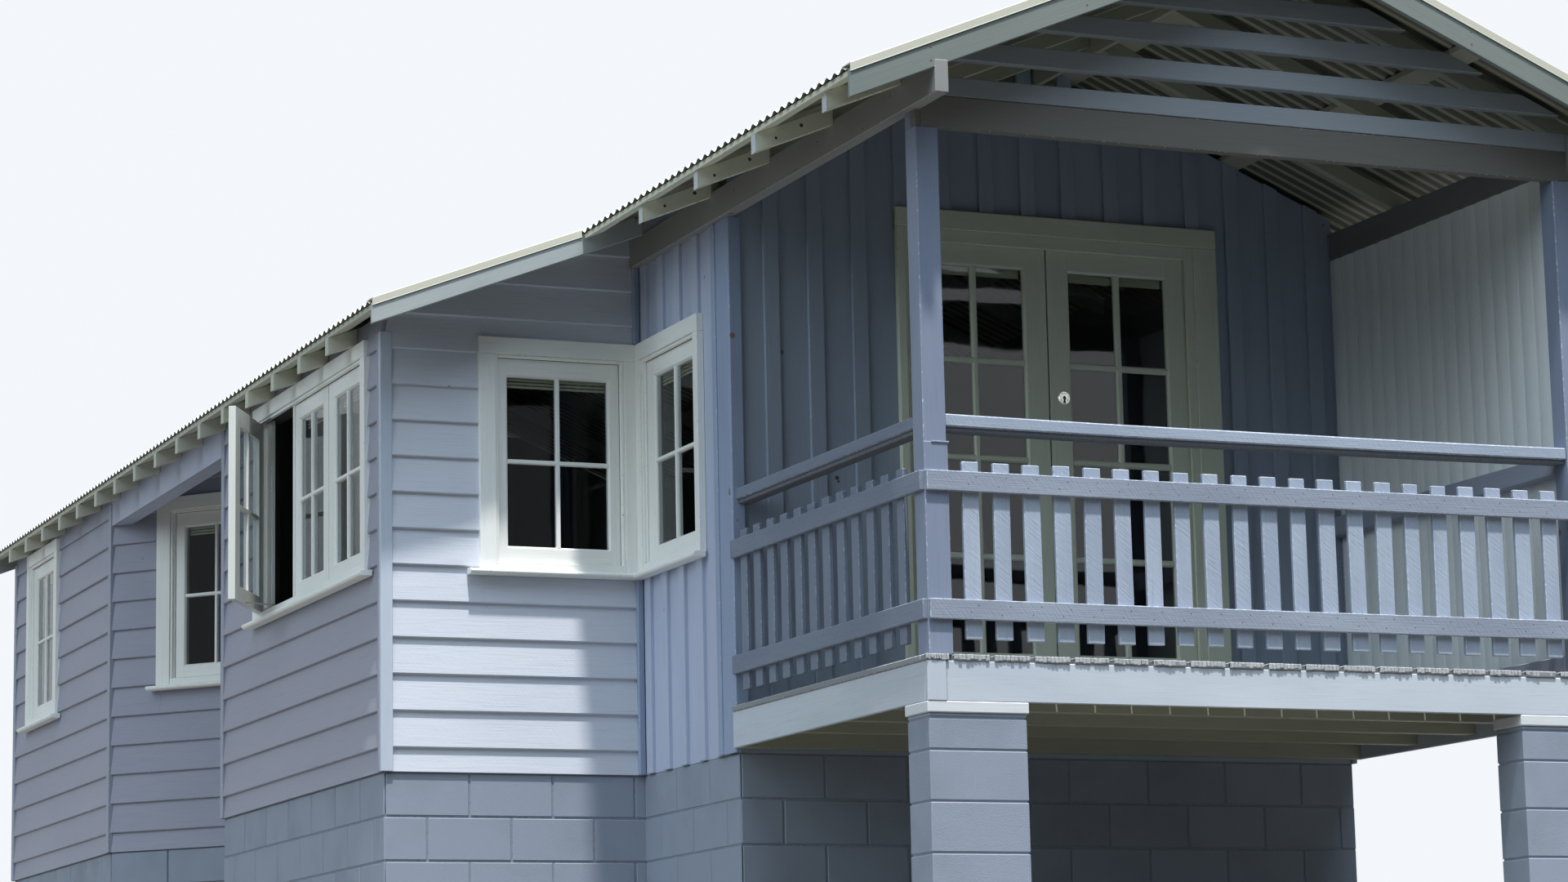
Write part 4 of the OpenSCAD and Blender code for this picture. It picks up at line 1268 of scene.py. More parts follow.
    def slats(self) -> None:
        """Builds the level slats that fill the gable."""
        lo, hi = span("gable_slats")
        beam_lo, beam_hi = span("side_beams")
        low = span("beam_front")[1].z
        height, pitch = self.slat
        r = self.roof
        work = Joiner("gable_slat_boards", 16, ease=0.003)
        for z0 in (low + i * pitch for i in range(5)):
            room = (beam_lo.x + self.beam, beam_hi.x - self.beam) if z0 < beam_hi.z else (-math.inf, math.inf)
            work.bar(rect(lo.y, z0, hi.y, z0 + height), Axis.X, lambda _, v: max(room[0], r.reach(v, r.under)),
                     lambda _, v: min(room[1], 2 * r.ridge_x - r.reach(v, r.under)))
        work.build("gable_slats", SLAT)

    def screen(self) -> None:
        """Builds the ribbed sheet of the right side and its two rails."""
        lo, hi = span("screen_right")
        sheet_t, rail_h, middle, steps = 0.018, 0.086, 0.861, 6
        work = Joiner("side_screen_sheet", 17, ease=0.002)
        count = round((hi.y - lo.y) / self.rib)
        pitch = (hi.y - lo.y) / count
        inner = hi.x - sheet_t
        for i in range(count):
            y0 = lo.y + i * pitch
            curve = [(inner + 0.004 + 0.009 * (1 - math.sin(math.pi * (0.12 + 0.76 * k / steps))),
                      y0 + 0.001 + (pitch - 0.002) * k / steps) for k in range(steps + 1)]
            work.bar([*curve, (hi.x, y0 + pitch - 0.001), (hi.x, y0 + 0.001)], Axis.Z, lo.z, hi.z, ease=0.0008)
        work.build("screen_right", SCREEN)
        rails = Joiner("side_screen_rails", 18, ease=0.003)
        for z in (lo.z, middle):
            rails.box((lo.x, lo.y, z), (inner + 0.002, hi.y, z + rail_h), Axis.Y)
        rails.build("posts", WALL_SMOOTH, stands=False)


@dataclass
class RoofTimbers:
    """Rafters, ridge board, inner beam, battens and barge boards.

    Attributes:
        rafter: Thickness and depth of the rafters.
        pitch: Spacing of the wing's and the lean-to's rafters.
        tops: How far below the roof's top line the rafters' tops lie.
        batten: Width and thickness of a roof batten.
        barge: Thickness of the barge boards, and their depth at the wing and at the lean-to's front.
        short: How much shorter than the first sheet's edge each of the veranda's tails is cut.
    """

    plan: Plan
    roof: RoofForm
    rafter: tuple[float, float] = (0.045, 0.080)
    pitch: tuple[float, float] = (0.680, 0.471)
    tops: float = 0.0436
    batten: tuple[float, float] = (0.090, 0.025)
    barge: tuple[float, float, float] = (0.025, 0.116, 0.096)
    short: tuple[float, ...] = (0.030, 0.006, 0.020, 0.026)

    def build(self) -> None:
        """Builds the roof's timbers."""
        self.wing_rafters()
        self.lean_rafters()
        # The ridge board and the inner beam take the timbers' darker copy: painted shade.
        for node, name, seed in (("ridge_board", "ridge_board_timber", 24),
                                 ("beam_inner", "inner_beam_timber", 25)):
            work = Joiner(name, seed)
            work.box(*span(node), Axis.Y)
            work.build(node, RAFTER_SHADE)
        self.battens()
        self.barges()

    @property
    def sheet_foot(self) -> float:
        """Gives the height of the sheets' undersides, measured from the roof's top line."""
        return -self.roof.sheet_t - 0.0003

    def rafter_bar(self, work: Joiner, side: Side, x0: float, x1: float, y: float, slot: int = 0) -> None:
        """Adds one rafter with plumb ends between two places."""
        outline = rect(y, -self.tops - self.rafter[1], y + self.rafter[0], -self.tops)
        work.bar(outline, Axis.X, x0, x1, place=self.roof.slope(side), slot=slot)

    def tail(self, work: Joiner, side: Side, x0: float, x1: float, beam: float, y: float) -> None:
        """Adds one rafter: outside the beam a lighter copy, painted light; inside it the darker copy, painted
        shade.
        """
        self.rafter_bar(work, side, x0, beam, y, slot=1)
        self.rafter_bar(work, side, beam + 0.0005, x1, y)

    def wing_rafters(self) -> None:
        """Builds the wing's rafters in pairs, with pale plates of painted sunlight on the cut ends of the
        veranda's tails.
        """
        r, p = self.roof, self.plan
        thick, deep = self.rafter
        half_ridge, gap, skin = 0.0125, 0.007, 0.0006
        beam, inner = span("side_beams")[0].x, span("beam_inner")[1].x
        work = Joiner("wing_rafters", 21, ease=0.003)
        tips = Joiner("rafter_tips", 22, ease=0.001)
        for i in range(int((p.rear_y - p.wall_t - 2 * thick) / self.pitch[0]) + 1):
            y = thick + i * self.pitch[0]
            if i < len(self.short):
                tip = r.eave_x + self.short[i]
                self.tail(work, Side.LEFT, tip + gap, r.ridge_x - half_ridge, beam, y)
                self.knots(work, y, tip + gap)
                # A pale plate on the tail's cut end: painted sunlight.
                outline = rect(y - skin, -self.tops - deep - skin, y + thick + skin, -self.tops)
                tips.bar(outline, Axis.X, tip + 0.0055, tip + 0.0095, place=r.slope(Side.LEFT))
            else:
                self.rafter_bar(work, Side.LEFT, inner, r.ridge_x - half_ridge, y)
            end = r.right_x - gap - self.short[i % len(self.short)]
            self.rafter_bar(work, Side.RIGHT, r.ridge_x + half_ridge, end, y)
        work.build("rafters_wing", RAFTER_SHADE, EAVE_LIT, KNOT)
        tips.build("barge_boards", TAIL_END_LIT, stands=False)

    def knots(self, work: Joiner, y: float, end: float) -> None:
        """Sets two knots in the front face of a tail.

        Args:
            work: The piece to add to.
            y: The tail's front face.
            end: Its cut end.
        """
        for away in (work.rng.uniform(0.07, 0.13), work.rng.uniform(0.19, 0.30)):
            x = end + away
            z = self.roof.top(x) - self.tops - self.rafter[1] * work.rng.uniform(0.3, 0.7)
            work.stud(Vector((x, y, z)), Vector((0, -1, 0)), work.rng.uniform(0.006, 0.011), 0.0006, 10, slot=2)

    def lean_rafters(self) -> None:
        """Builds the lean-to's rafters, bent at the change of slope."""
        r = self.roof
        lo, hi = span("rafters_lean")
        work = Joiner("lean_rafters", 23, ease=0.003)
        for i in range(round((hi.y - self.rafter[0] - lo.y) / self.pitch[1]) + 1):
            y = lo.y + i * self.pitch[1]
            # Tails outside the lean-to's wall take a lighter copy: painted light.
            self.tail(work, Side.LEAN, lo.x, r.eave_x, self.plan.lean_x, y)
            self.rafter_bar(work, Side.LEFT, r.eave_x, hi.x, y)
        work.build("rafters_lean", RAFTER_SHADE, EAVE_LOW_LIT)

    def battens(self) -> None:
        """Builds the roof battens along the house."""
        r = self.roof
        edge, inset = 0.060, 0.025
        # The battens by the eaves take the lighter copies, painted light; the others take the darker copy,
        # painted shade.
        rows = []
        for away in (0.175, 1.015, r.ridge_x - r.eave_x - edge):
            outer = int(away > 1.5)
            for side, sign in ((Side.LEFT, -1), (Side.RIGHT, 1)):
                rows.append((side, r.ridge_x + sign * away, r.front_y, outer))
        for away, slot in ((edge, 2), (edge + 0.790, 0)):
            rows.append((Side.LEAN, r.lean_x + away, r.lean_front_y, slot))
        half, top = self.batten[0] / 2, self.sheet_foot
        work = Joiner("roof_batten_boards", 26)
        for side, x, front, slot in rows:
            outline = rect(x - half, top - self.batten[1], x + half, top)
            work.bar(outline, Axis.Y, front + inset, r.rear_y - inset,
                     place=r.slope(side), slot=slot)
        work.build("roof_battens", RAFTER_SHADE, EAVE_LIT, EAVE_LOW_LIT)

    def barges(self) -> None:
        """Builds the barge boards at the gable, the lean-to's front and the rear."""
        r = self.roof
        thick, wing_deep, lean_deep = self.barge
        top = self.sheet_foot
        work = Joiner("barge_board_timbers", 27, ease=0.003)
        for side, x0, x1, y in r.edges():
            deep = lean_deep if y == r.lean_front_y else wing_deep
            end = -0.100 if y == r.lean_front_y else x1 - (0.0 if side is Side.RIGHT else 0.0003)
            face = r.rear_y - thick if y == r.rear_y else y
            # Slot 0, the gable's front barges, get the dark painted shade; slot 2, the others, the barges'
            # paint.
            work.bar(rect(face, top - deep, face + thick, top), Axis.X, x0, end, place=r.slope(side),
                     slot=0 if y == r.front_y else 2)
        far = 2 * r.ridge_x - r.eave_x
        for x in (r.eave_x + 0.35, r.eave_x + 1.05, far - 0.35, far - 1.05):
            for down in (0.03, 0.085):
                at = Vector((x, r.front_y, r.top(x) + top - down))
                work.stud(at, Vector((0, -1, 0)), 0.005, 0.0008, slot=1)
        work.build("barge_boards", BARGE_SHADE, NAIL, BARGE_LOW)


@dataclass
class RoofCover:
    """Corrugated sheets, ridge cap, flashings and roof screws.

    Attributes:
        pitch: Spacing of the corrugations.
        depth: Their depth.
        metal: Thickness of the sheet.
        steps: Points around one corrugation.
        flashing: Thickness of the flashings, how far they hang down and how far they lie on the sheets.
    """

    roof: RoofForm
    pitch: float = 0.0762
    depth: float = 0.0165
    metal: float = 0.001
    steps: int = 10
    flashing: tuple[float, float, float] = (0.005, 0.032, 0.075)

    def build(self) -> None:
        """Builds the roof's covering."""
        r = self.roof
        self.sheet("roof_sheets_left", "roof_left", r.eave_x, r.ridge_x, r.front_y)
        self.sheet("roof_sheets_right", "roof_right", r.right_x, r.ridge_x, r.front_y)
        self.sheet("roof_sheets_lean", "roof_lean", r.lean_x, r.eave_x, r.lean_front_y)
        self.cap()
        self.flashings()
        self.screws()

    def crest(self, y: float) -> float:
        """Gives a sheet's height above its hollows at y."""
        return self.depth * (0.5 + 0.5 * math.cos(2 * math.pi * (y - self.roof.lean_front_y) / self.pitch))

    def sheet(self, name: str, node: str, x0: float, x1: float, y0: float) -> None:
        """Builds one slope's corrugated sheets.

        The upper face has the paint, with a strip of painted sunlight along the eave and on the eave's cut
        edge.
        The lower face and the other cut edges have painted shade: near black on the crests and the eave row,
        a dimmer copy of the paint in the hollows that hang down between them.

        Args:
            name: The piece's name.
            node: The CAD node that it replaces.
            x0: The eave.
            x1: The upper edge.
            y0: The front edge.
        """
        r = self.roof
        stops = [0.0, 0.028 / abs(x1 - x0), 0.25, 0.5, 0.75, 1.0]
        rows = len(stops) - 1
        columns = int((r.rear_y - y0) / self.pitch * self.steps)
        step = (r.rear_y - y0) / columns
        points: list[Vector] = []
        board: list[Vector] = []
        for level in (0.0, -self.metal):
            for j in range(columns + 1):
                y, panel = y0 + j * step, j // (10 * self.steps)
                for stop in stops:
                    x = x0 + (x1 - x0) * stop
                    z = r.top(min(x, r.eave_x - 1e-6) if node == "roof_lean" else x)
                    points.append(Vector((x, y, z - r.sheet_t + self.metal + self.crest(y) + level)))
                    board.append(Vector((abs(x - x0), y + 3.7 * panel, 0.0)))
        wide = rows + 1
        half = (columns + 1) * wide
        faces: list[tuple[int, ...]] = []
        slots: list[int] = []
        for j in range(columns):
            for i in range(rows):
                a, b = j * wide + i, (j + 1) * wide + i
                faces += [(a, a + 1, b + 1, b), (half + a, half + b, half + b + 1, half + a + 1)]
                # dark picks the underside's faces that get the near-black painted shade: the eave row and the
                # crests.
                dark = i == 0 or self.crest(y0 + (j + 0.5) * step) > 0.42 * self.depth
                slots += [2 if i == 0 else 0, 1 if dark else 3]
        for i, way in ((0, 1), (rows, -1)):
            for a in range(i, columns * wide + i, wide):
                faces.append((a, a + wide, half + a + wide, half + a)[::way])
        for k, way in ((0, -1), (columns * wide, 1)):
            faces.extend((a, a + 1, half + a + 1, half + a)[::way] for a in range(k, k + rows))
        work = Joiner(name, 31, ease=0.0)
        work.add(points, board, faces, [0.0] * len(faces))
        # The eave's cut edge is painted sunlight; the other cut edges are near-black painted shade.
        work.slots = slots + [2] * columns + [1] * (len(faces) - len(slots) - columns)
        work.build(node, ROOF, ROOF_UNDER_SHADE, ROOF_EDGE_LIT, ROOF_BELOW_SHADE, smooth=True)

    def cap(self) -> None:
        """Builds the rolled ridge cap in three lapped lengths."""
        r = self.roof
        lo, hi = span("ridge_cap")
        half, third, lap = hi.x - r.ridge_x, (hi.y - lo.y) / 3, 0.05
        over: list[Point] = []
        under: list[Point] = []
        for k in range(-6, 7):
            x = r.ridge_x + half * k / 6
            lift = 0.004 if abs(k) == 6 else 0.0
            over.append((x, r.top(x) + 0.005 + lift))
            under.append((x, r.top(x) + 0.0022 + 0.3 * lift))
        work = Joiner("ridge_cap_sheet", 34, ease=0.0008)
        for i, rise, more in ((0, 0.0, 0.0), (1, 0.001, lap), (2, 0.0, 0.0)):
            shape = [(x, z + rise) for x, z in [*under, *over[::-1]]]
            work.bar(shape, Axis.Y, lo.y + i * third - more, lo.y + (i + 1) * third + more)
        work.build("ridge_cap", CAP_SHEET)

    def flashings(self) -> None:
        """Builds the bent flashings over the barge boards."""
        r = self.roof
        t, drop, wide = self.flashing
        lip = wide + 0.003
        shape = [(0, 0.0003), (wide, 0.0003), (lip, -0.006), (lip, 0.002), (wide, t), (0.002 - t, t),
                 (-t, t - 0.003), (-t, -drop + 0.004), (-t - 0.001, -drop), (-0.0005, -drop)]
        work = Joiner("barge_flashings", 35, ease=0.0006)
        for side, x0, x1, y in r.edges():
            way = -1 if y == r.rear_y else 1
            end = x1 - (0.001 if y == r.lean_front_y else 0.0)
            work.bar([(y + way * a, b) for a, b in shape], Axis.X, x0, end, place=r.slope(side))
        work.build("flashings", FLASHING)

    def screws(self) -> None:
        """Drives a screw with its washer through every third crest along the battens."""
        r = self.roof
        left, right, lean = (Vector((rise, 0, 1)).normalized()
                             for rise in (-r.wing_tan, r.wing_tan, -r.lean_tan))
        rows = [(r.ridge_x + sign * away, way, r.front_y) for sign, way in ((-1, left), (1, right))
                for away in (0.175, 1.015, 1.895)]
        rows += [(r.lean_x + away, lean, r.lean_front_y) for away in (0.06, 0.85)]
        work = Joiner("roof_screws", 36)
        for x, way, y0 in rows:
            y = r.lean_front_y + math.ceil((y0 + 0.08 - r.lean_front_y) / self.pitch) * self.pitch
            while y < r.rear_y - 0.08:
                at = Vector((x, y, r.top(x) - r.sheet_t + self.metal + self.depth))
                work.stud(at, way, 0.0075, 0.0012)
                work.stud(at, way, 0.0042, 0.0050, 6)
                y += 3 * self.pitch
        work.build("roof_left", FLASHING, stands=False)


@dataclass(frozen=True)
class Gap:
    """A place in a wall's face that its boards leave free.

    Attributes:
        x0: Its left end.
        x1: Its right end.
        z0: Its foot, by default the windows'.
        z1: Its top, by default the windows'.
    """

    x0: float
    x1: float
    z0: float = 0.720
    z1: float = 1.800


@dataclass
class Wall:
    """One face of the house's walls, in its own frame: x to the right as seen from outside, y inward, z up.

    Attributes:
        name: The piece's name.
        node: The CAD node that carries it.
        place: The face's frame.
        length: The face's length.
        foot: Foot of its boards.
        top: Height of its boards' tops at x.
        gaps: Openings that the boards leave free.
        start: Where its first batten stands.
    """

    name: str
    node: str
    place: Matrix
    length: float
    foot: float
    top: Callable[[float], float]
    gaps: Sequence[Gap] = ()
    start: float = 0.0

    def free(self, x0: float, x1: float, z0: float, z1: float) -> list[tuple[float, float, float, float]]:
        """Splits a strip of the face round the openings.

        Args:
            x0: The strip's left end.
            x1: Its right end.
            z0: Its foot.
            z1: Its top.

        Returns:
            The rectangles of the strip that no opening takes.
        """
        parts = [(x0, x1, z0, z1)]
        for gap in self.gaps:
            kept: list[tuple[float, float, float, float]] = []
            for a, b, c, d in parts:
                if gap.x0 >= b or gap.x1 <= a or gap.z0 >= d or gap.z1 <= c:
                    kept.append((a, b, c, d))
                    continue
                if gap.x0 > a:
                    kept.append((a, gap.x0, c, d))
                if gap.x1 < b:
                    kept.append((gap.x1, b, c, d))
                left, right = max(a, gap.x0), min(b, gap.x1)
                if gap.z0 > c:
                    kept.append((left, right, c, gap.z0))
                if gap.z1 < d:
                    kept.append((left, right, gap.z1, d))
            parts = kept
        return [part for part in parts if part[1] - part[0] > 0.01 and part[3] - part[2] > 0.004]


@dataclass
class Cladding:
    """Weatherboards, boards and battens, corner trims and the walls behind them.

    Attributes:
        lap: Exposed height of a weatherboard.
        first_lap: A lower edge that all courses share.
        over: How far a weatherboard reaches up behind the next.
        batten: Width and thickness of a batten.
        batten_pitch: Spacing of the battens.
        recess: How far the boards' upper edges and the flat boards stand back from the walls' face.
        drop: How far below the roof's top line the boards end.
        wing_top: Top of the wing's left wall.
        walls: The walls' faces by the names of their pieces.
    """

    plan: Plan
    roof: RoofForm
    lap: float = 0.1666
    first_lap: float = 0.576
    over: float = 0.012
    batten: tuple[float, float] = (0.073, 0.018)
    batten_pitch: float = 0.2145
    recess: float = 0.013
    drop: float = 0.044
    wing_top: float = 2.19
    walls: dict[str, Wall] = field(default_factory=dict)

    def build(self) -> None:
        """Builds every face of the walls."""
        self.faces()
        for name, wall in self.walls.items():
            work = Joiner(f"{name}_boards", 41 + len(name), ease=0.0012)
            if name in ("door_wall", "wing_left", "right_side"):
                self.battens(work, wall)
            else:
                self.weatherboards(work, wall)
            work.build(wall.node, self.paint(wall.node), stands=False)
        self.knots()
        self.cores()
        self.corners()
        repaint("nook_lintel", LINING.material())

    @staticmethod
    def paint(node: str) -> Paint:
        """Gives a wall's paint: the lighter copy is painted sunlight, the bluer ones painted shade."""
        tones = {"wall_lean_front": WALL_SUN, "wall_wing_left": WALL_WING_SHADE}
        return tones.get(node, WALL_DOOR_SHADE if node.startswith("wall_door") else WALL)

    def knots(self) -> None:
        """Sets the dark knots that show in the door wall's boards."""
        work = Joiner("wall_knots", 62)
        for x, z, radius in ((0.209, 1.175, 0.009), (0.212, 1.157, 0.007), (0.506, 1.034, 0.010),
                             (0.512, 1.018, 0.006)):
            work.stud(Vector((x, self.plan.door_y + self.recess, z)), Vector((0, -1, 0)), radius, 0.001, 10)
        work.build("wall_door_left", KNOT, stands=False)

    def faces(self) -> None:
        """Lists the walls' faces."""
        p, r = self.plan, self.roof
        casing = 0.055
        along, across = p.slant
        share = math.cos(math.radians(p.slant_deg))

        def rake(at: float, way: float, less: float = 0.0) -> Callable[[float], float]:
            """Gives the top of a wall that starts at one x and runs a share of its length across."""
            return lambda x: r.top(at + way * x) - self.drop - less

        spots = [
            Wall("door_wall", "wall_door_left", turned(0, p.door_y, 0), p.wing_w, 0.0, rake(0, 1),
                 [Gap(0.823, 2.46, -1.0, 2.282)], 0.165),
            Wall("wing_left", "wall_wing_left", turned(0, p.lean_y, -90), p.lean_y - p.door_y, p.foot,
                 lambda _: self.wing_top, [Gap(-1, 0.782)], 0.055),
            Wall("right_side", "wall_right", turned(p.wing_w, p.door_y, 90), p.rear_y - p.door_y, p.foot,
                 rake(p.wing_w, 0), (), 0.1),
            Wall("lean_front", "wall_lean_front", turned(p.lean_x, p.lean_y, 0), -p.lean_x, p.foot,
                 rake(p.lean_x, 1), [Gap(-p.lean_x - 0.77, 9)]),
            Wall("lean_left", "wall_lean_left", turned(p.lean_x, p.nook_y0, -90), p.nook_y0 - p.lean_y, p.foot,
                 rake(p.lean_x, 0), [Gap(p.row_gap - casing, p.row_gap + 1.8 + casing)]),
            Wall("nook_side", "wall_nook", turned(p.nook_x, p.nook_y0, 180), along, p.foot, rake(p.nook_x, -1)),
            Wall("nook_back", "wall_nook", turned(p.nook_x, p.nook_y1 - across, -90),
                 p.nook_y1 - across - p.nook_y0, p.foot, rake(p.nook_x, 0)),
            Wall("nook_slant", "wall_nook", turned(p.lean_x, p.nook_y1, -p.slant_deg),
                 math.hypot(along, across),
                 p.foot, rake(p.lean_x, share, 0.08), [Gap(0.355, 1.107)]),
            Wall("rear_left", "wall_rear_left", turned(p.lean_x, p.rear_y, -90), p.rear_y - p.nook_y1, p.foot,
                 rake(p.lean_x, 0), [Gap(0.361, 1.171)]),
            Wall("rear", "wall_rear", turned(p.wing_w, p.rear_y, 180), p.wing_w - p.lean_x, p.foot,
                 rake(p.wing_w, -1))]
        self.walls = {wall.name: wall for wall in spots}

    def weatherboards(self, work: Joiner, wall: Wall) -> None:
        """Nails lapped boards over a face, each tilted over the one below.

        Args:
            work: The piece to add to.
            wall: The face.
        """
        course = math.ceil((wall.foot - self.first_lap) / self.lap - 0.5)
        best = max(wall.top(wall.length * k / 16) for k in range(17))
        while self.first_lap + course * self.lap < best:
            z0 = self.first_lap + course * self.lap
            for a, b, c, d in wall.free(0.0, wall.length, max(z0, wall.foot), z0 + self.lap + self.over):
                top = min(d, best)
                if top - c > 0.01:
                    self.weatherboard(work, wall, a, b, c, top, z0)
            course += 1

    def weatherboard(self, work: Joiner, wall: Wall, a: float, b: float, c: float, d: float, z0: float) -> None:
        """Adds one board of a course between a and b, from c up to d, cut where it meets the roof.

        Args:
            work: The piece to add to.
            wall: The face.
            a: Its left end.
            b: Its right end.
            c: Its foot.
            d: Its top.
            z0: The course's lower edge.
        """
        low_y, high_y, back = -0.007, self.recess - 0.003, self.recess + 0.004
        nose = 0.005 if abs(c - z0) < 0.001 else 0.0

        def face(z: float) -> float:
            """Gives the board's outer face at height z."""
            return low_y + (high_y - low_y) * (z - z0) / (self.lap + self.over)

        def left(_: float, v: float) -> float:
            """Finds the board's left end under a sloping roof."""
            return self.seek(a, b, lambda x: wall.top(x) >= v)

        def right(_: float, v: float) -> float:
            """Finds the board's right end under a sloping roof."""
            return self.seek(b, a, lambda x: wall.top(x) >= v)

        foot = [(face(c) + nose, c), (face(c + nose), c + nose * 0.8)] if nose else [(face(c), c)]
        if left(0, c) >= right(0, c) - 0.01:
            return
        if min(wall.top(a), wall.top(b)) >= d:
            work.bar([(back, c), *foot, (face(d), d), (back, d)], Axis.X, a, b, place=wall.place)
            return
        d = min(d, max(wall.top(a + (b - a) * k / 64) for k in range(65)) - 0.001)
        if d - c >= 0.012:
            work.bar([(back, c), *foot, (face(d), d), (back, d)], Axis.X, left, right, place=wall.place)

    @staticmethod
    def seek(near: float, far: float, free: Callable[[float], bool]) -> float:
        """Gives the place nearest to one end, on the way to the other, that is free.

        Args:
            near: The end to start from.
            far: The other end.
            free: Says whether a place is free.

        Returns:
            The place, or the far end where none is free.
        """
        if free(near):
            return near
        steps = 64
        for k in range(1, steps + 1):
            if free(near + (far - near) * k / steps):
                low, high = (near + (far - near) * m / steps for m in (k - 1, k))
                for _ in range(12):
                    middle = (low + high) / 2
                    low, high = (low, middle) if free(middle) else (middle, high)
                return high
        return far

    def battens(self, work: Joiner, wall: Wall) -> None:
        """Nails upright battens over a face's flat boards.

        Args:
            work: The piece to add to.
            wall: The face.
        """
        wide, thick = self.batten
        x = wall.start
        while x + wide < wall.length:
            a = x + work.rng.uniform(-0.006, 0.006)
            b, middle = a + wide, a + wide / 2
            for _, _, c, d in wall.free(middle - 0.006, middle + 0.006, wall.foot, 9.0):
                outline = [(a, c), (b, c), (b, min(d, wall.top(b))), (a, min(d, wall.top(a)))]
                work.bar(outline, Axis.Y, self.recess - thick, self.recess + 0.004, place=wall.place,
                         turn=math.pi / 2, ease=0.002)
            x += self.batten_pitch

    def cores(self) -> None:
        """Replaces the walls by copies whose outer faces stand back behind the boards."""
        p = self.plan
        angle = math.radians(p.slant_deg)
        slant = Vector((-math.sin(angle), -math.cos(angle), 0))
        front, rear, left, right = (Vector(way) for way in ((0, -1, 0), (0, 1, 0), (-1, 0, 0), (1, 0, 0)))
        door = [(front, -p.door_y)]
        lean, nook = (left, -p.lean_x), (rear, p.nook_y0)
        planes = {
            "wall_door_left": door, "wall_door_right": door, "wall_door_over": door,
            "wall_wing_left": [(left, 0.0)],
            "wall_right": [(right, p.wing_w)],
            "wall_lean_front": [(front, -p.lean_y), lean],
            "wall_lean_left": [lean, nook],
            "wall_nook": [nook, (left, -p.nook_x), (slant, slant.dot(Vector((p.lean_x, p.nook_y1, 0))))],
            "wall_rear_left": [lean],
            "wall_rear": [(rear, p.rear_y), lean, (right, p.wing_w)]}
        for node, faces in planes.items():
            self.core(node, faces)

    def core(self, node: str, faces: Sequence[tuple[Vector, float]]) -> None:
        """Copies a wall with some of its faces set back.

        Args:
            node: The CAD node.
            faces: Outward directions and distances of the faces in the house's frame.
        """
        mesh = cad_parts[node].data.copy()
        mesh.name = f"{node}_core"
        places = [v.co - HOME for v in mesh.vertices]
        for vertex, place in zip(mesh.vertices, places):
            for way, distance in faces:
                if abs(way.dot(place) - distance) < 0.0005:
                    vertex.co -= way * self.recess
        board = [c for v in mesh.vertices for c in (v.co.z, v.co.x + v.co.y, v.co.x - v.co.y)]
        mesh.attributes.new("board", "FLOAT_VECTOR", "POINT").data.foreach_set("vector", board)
        mesh.materials.clear()
        # Inner faces take the near-black painted shade.
        for finish in (self.paint(node), INSIDE_SHADE):
            mesh.materials.append(finish.material())
        way, distance = faces[0]
        for polygon in mesh.polygons:
            near = abs(way.dot(places[polygon.vertices[0]]) - distance) < 0.001
            flush = near and abs(way.dot(polygon.normal)) > 0.99
            out = any(other.dot(polygon.normal) > 0.9 for other, _ in faces)
            polygon.material_index = 0 if flush or out else 1
        declare(show(f"{node}_core", mesh), node)

    def corners(self) -> None:
        """Builds the trims at the walls' corners."""
        p, r = self.plan, self.roof
        out, thick, wide, post = 0.008, 0.020, 0.193, 0.026
        low, high, right_high = p.foot, r.top(p.lean_x) - 0.13, r.top(p.wing_w) - 0.13
        left, inner, right = p.lean_x - out, p.lean_x + thick, p.wing_w + out
        front, door, rear, side = p.lean_y, p.door_y, p.rear_y + out, p.wing_w - thick
        work = Joiner("corner_trims", 61, ease=0.003)
        # Slot 1, the lean-to's front corner, has a lighter copy of the trim paint: painted sunlight. Slot 2,
        # the wing's corners, has a darker, bluer copy: painted shade.
        for slot, lo, hi in (
                (1, (left, front - out, low), (p.lean_x + 0.049, front + thick, high)),
                (0, (left, front + thick + 0.001, low), (inner, front + 0.050, high)),
                (2, (-out, door + thick + 0.0005, low), (thick, door + wide - 0.046, self.wing_top)),
                (2, (-out - 0.006, door + wide - 0.045, low), (thick, door + wide, self.wing_top)),
                (2, (-out, door - out, 0.0), (0.052, door + thick, self.wing_top)),
                (2, (-out, door, low), (0.02, door + thick, -0.0005)),
                (2, (-post, front - post, low), (0.004, front + 0.004, 0.706)),
                (2, (-post, front - post, 1.825), (0.004, front + 0.004, self.wing_top)),
                (0, (left, p.nook_y0 - 0.05, low), (inner, p.nook_y0 + 0.004, high)),
                (0, (left, p.nook_y1 - 0.014, low), (inner, p.nook_y1 + 0.045, high)),
                (0, (left, p.rear_y - 0.05, low), (inner, rear, high)),
                (0, (inner + 0.0005, p.rear_y - thick, low), (p.lean_x + 0.05, rear, high)),
                (0, (side, p.rear_y - 0.05, low), (right, rear, right_high)),
                (0, (p.wing_w - 0.05, p.rear_y - thick, low), (side - 0.0005, rear, right_high)),
                (0, (side, door, low), (right, door + 0.09, right_high))):
            work.box(lo, hi, Axis.Z, slot=slot)
        work.build("wall_lean_front", WALL_SMOOTH, TRIM_SUN, TRIM_WING_SHADE, stands=False)


@dataclass(frozen=True)
class Light:
    """One glazed sash.

    Attributes:
        start: Where it starts in its opening.
        width: Its width.
        left: Width of the timber left of its glass.
        right: Width of the timber right of it.
        jamb_left: How much of the left timber is frame.
        jamb_right: How much of the right timber is frame.
    """

    start: float
    width: float
    left: float
    right: float
    jamb_left: float = 0.022
    jamb_right: float = 0.022


def swapped(outline: Sequence[Point]) -> list[Point]:
    """Gives the section of a rail from that of a stile."""
    return [(v, u) for u, v in outline]


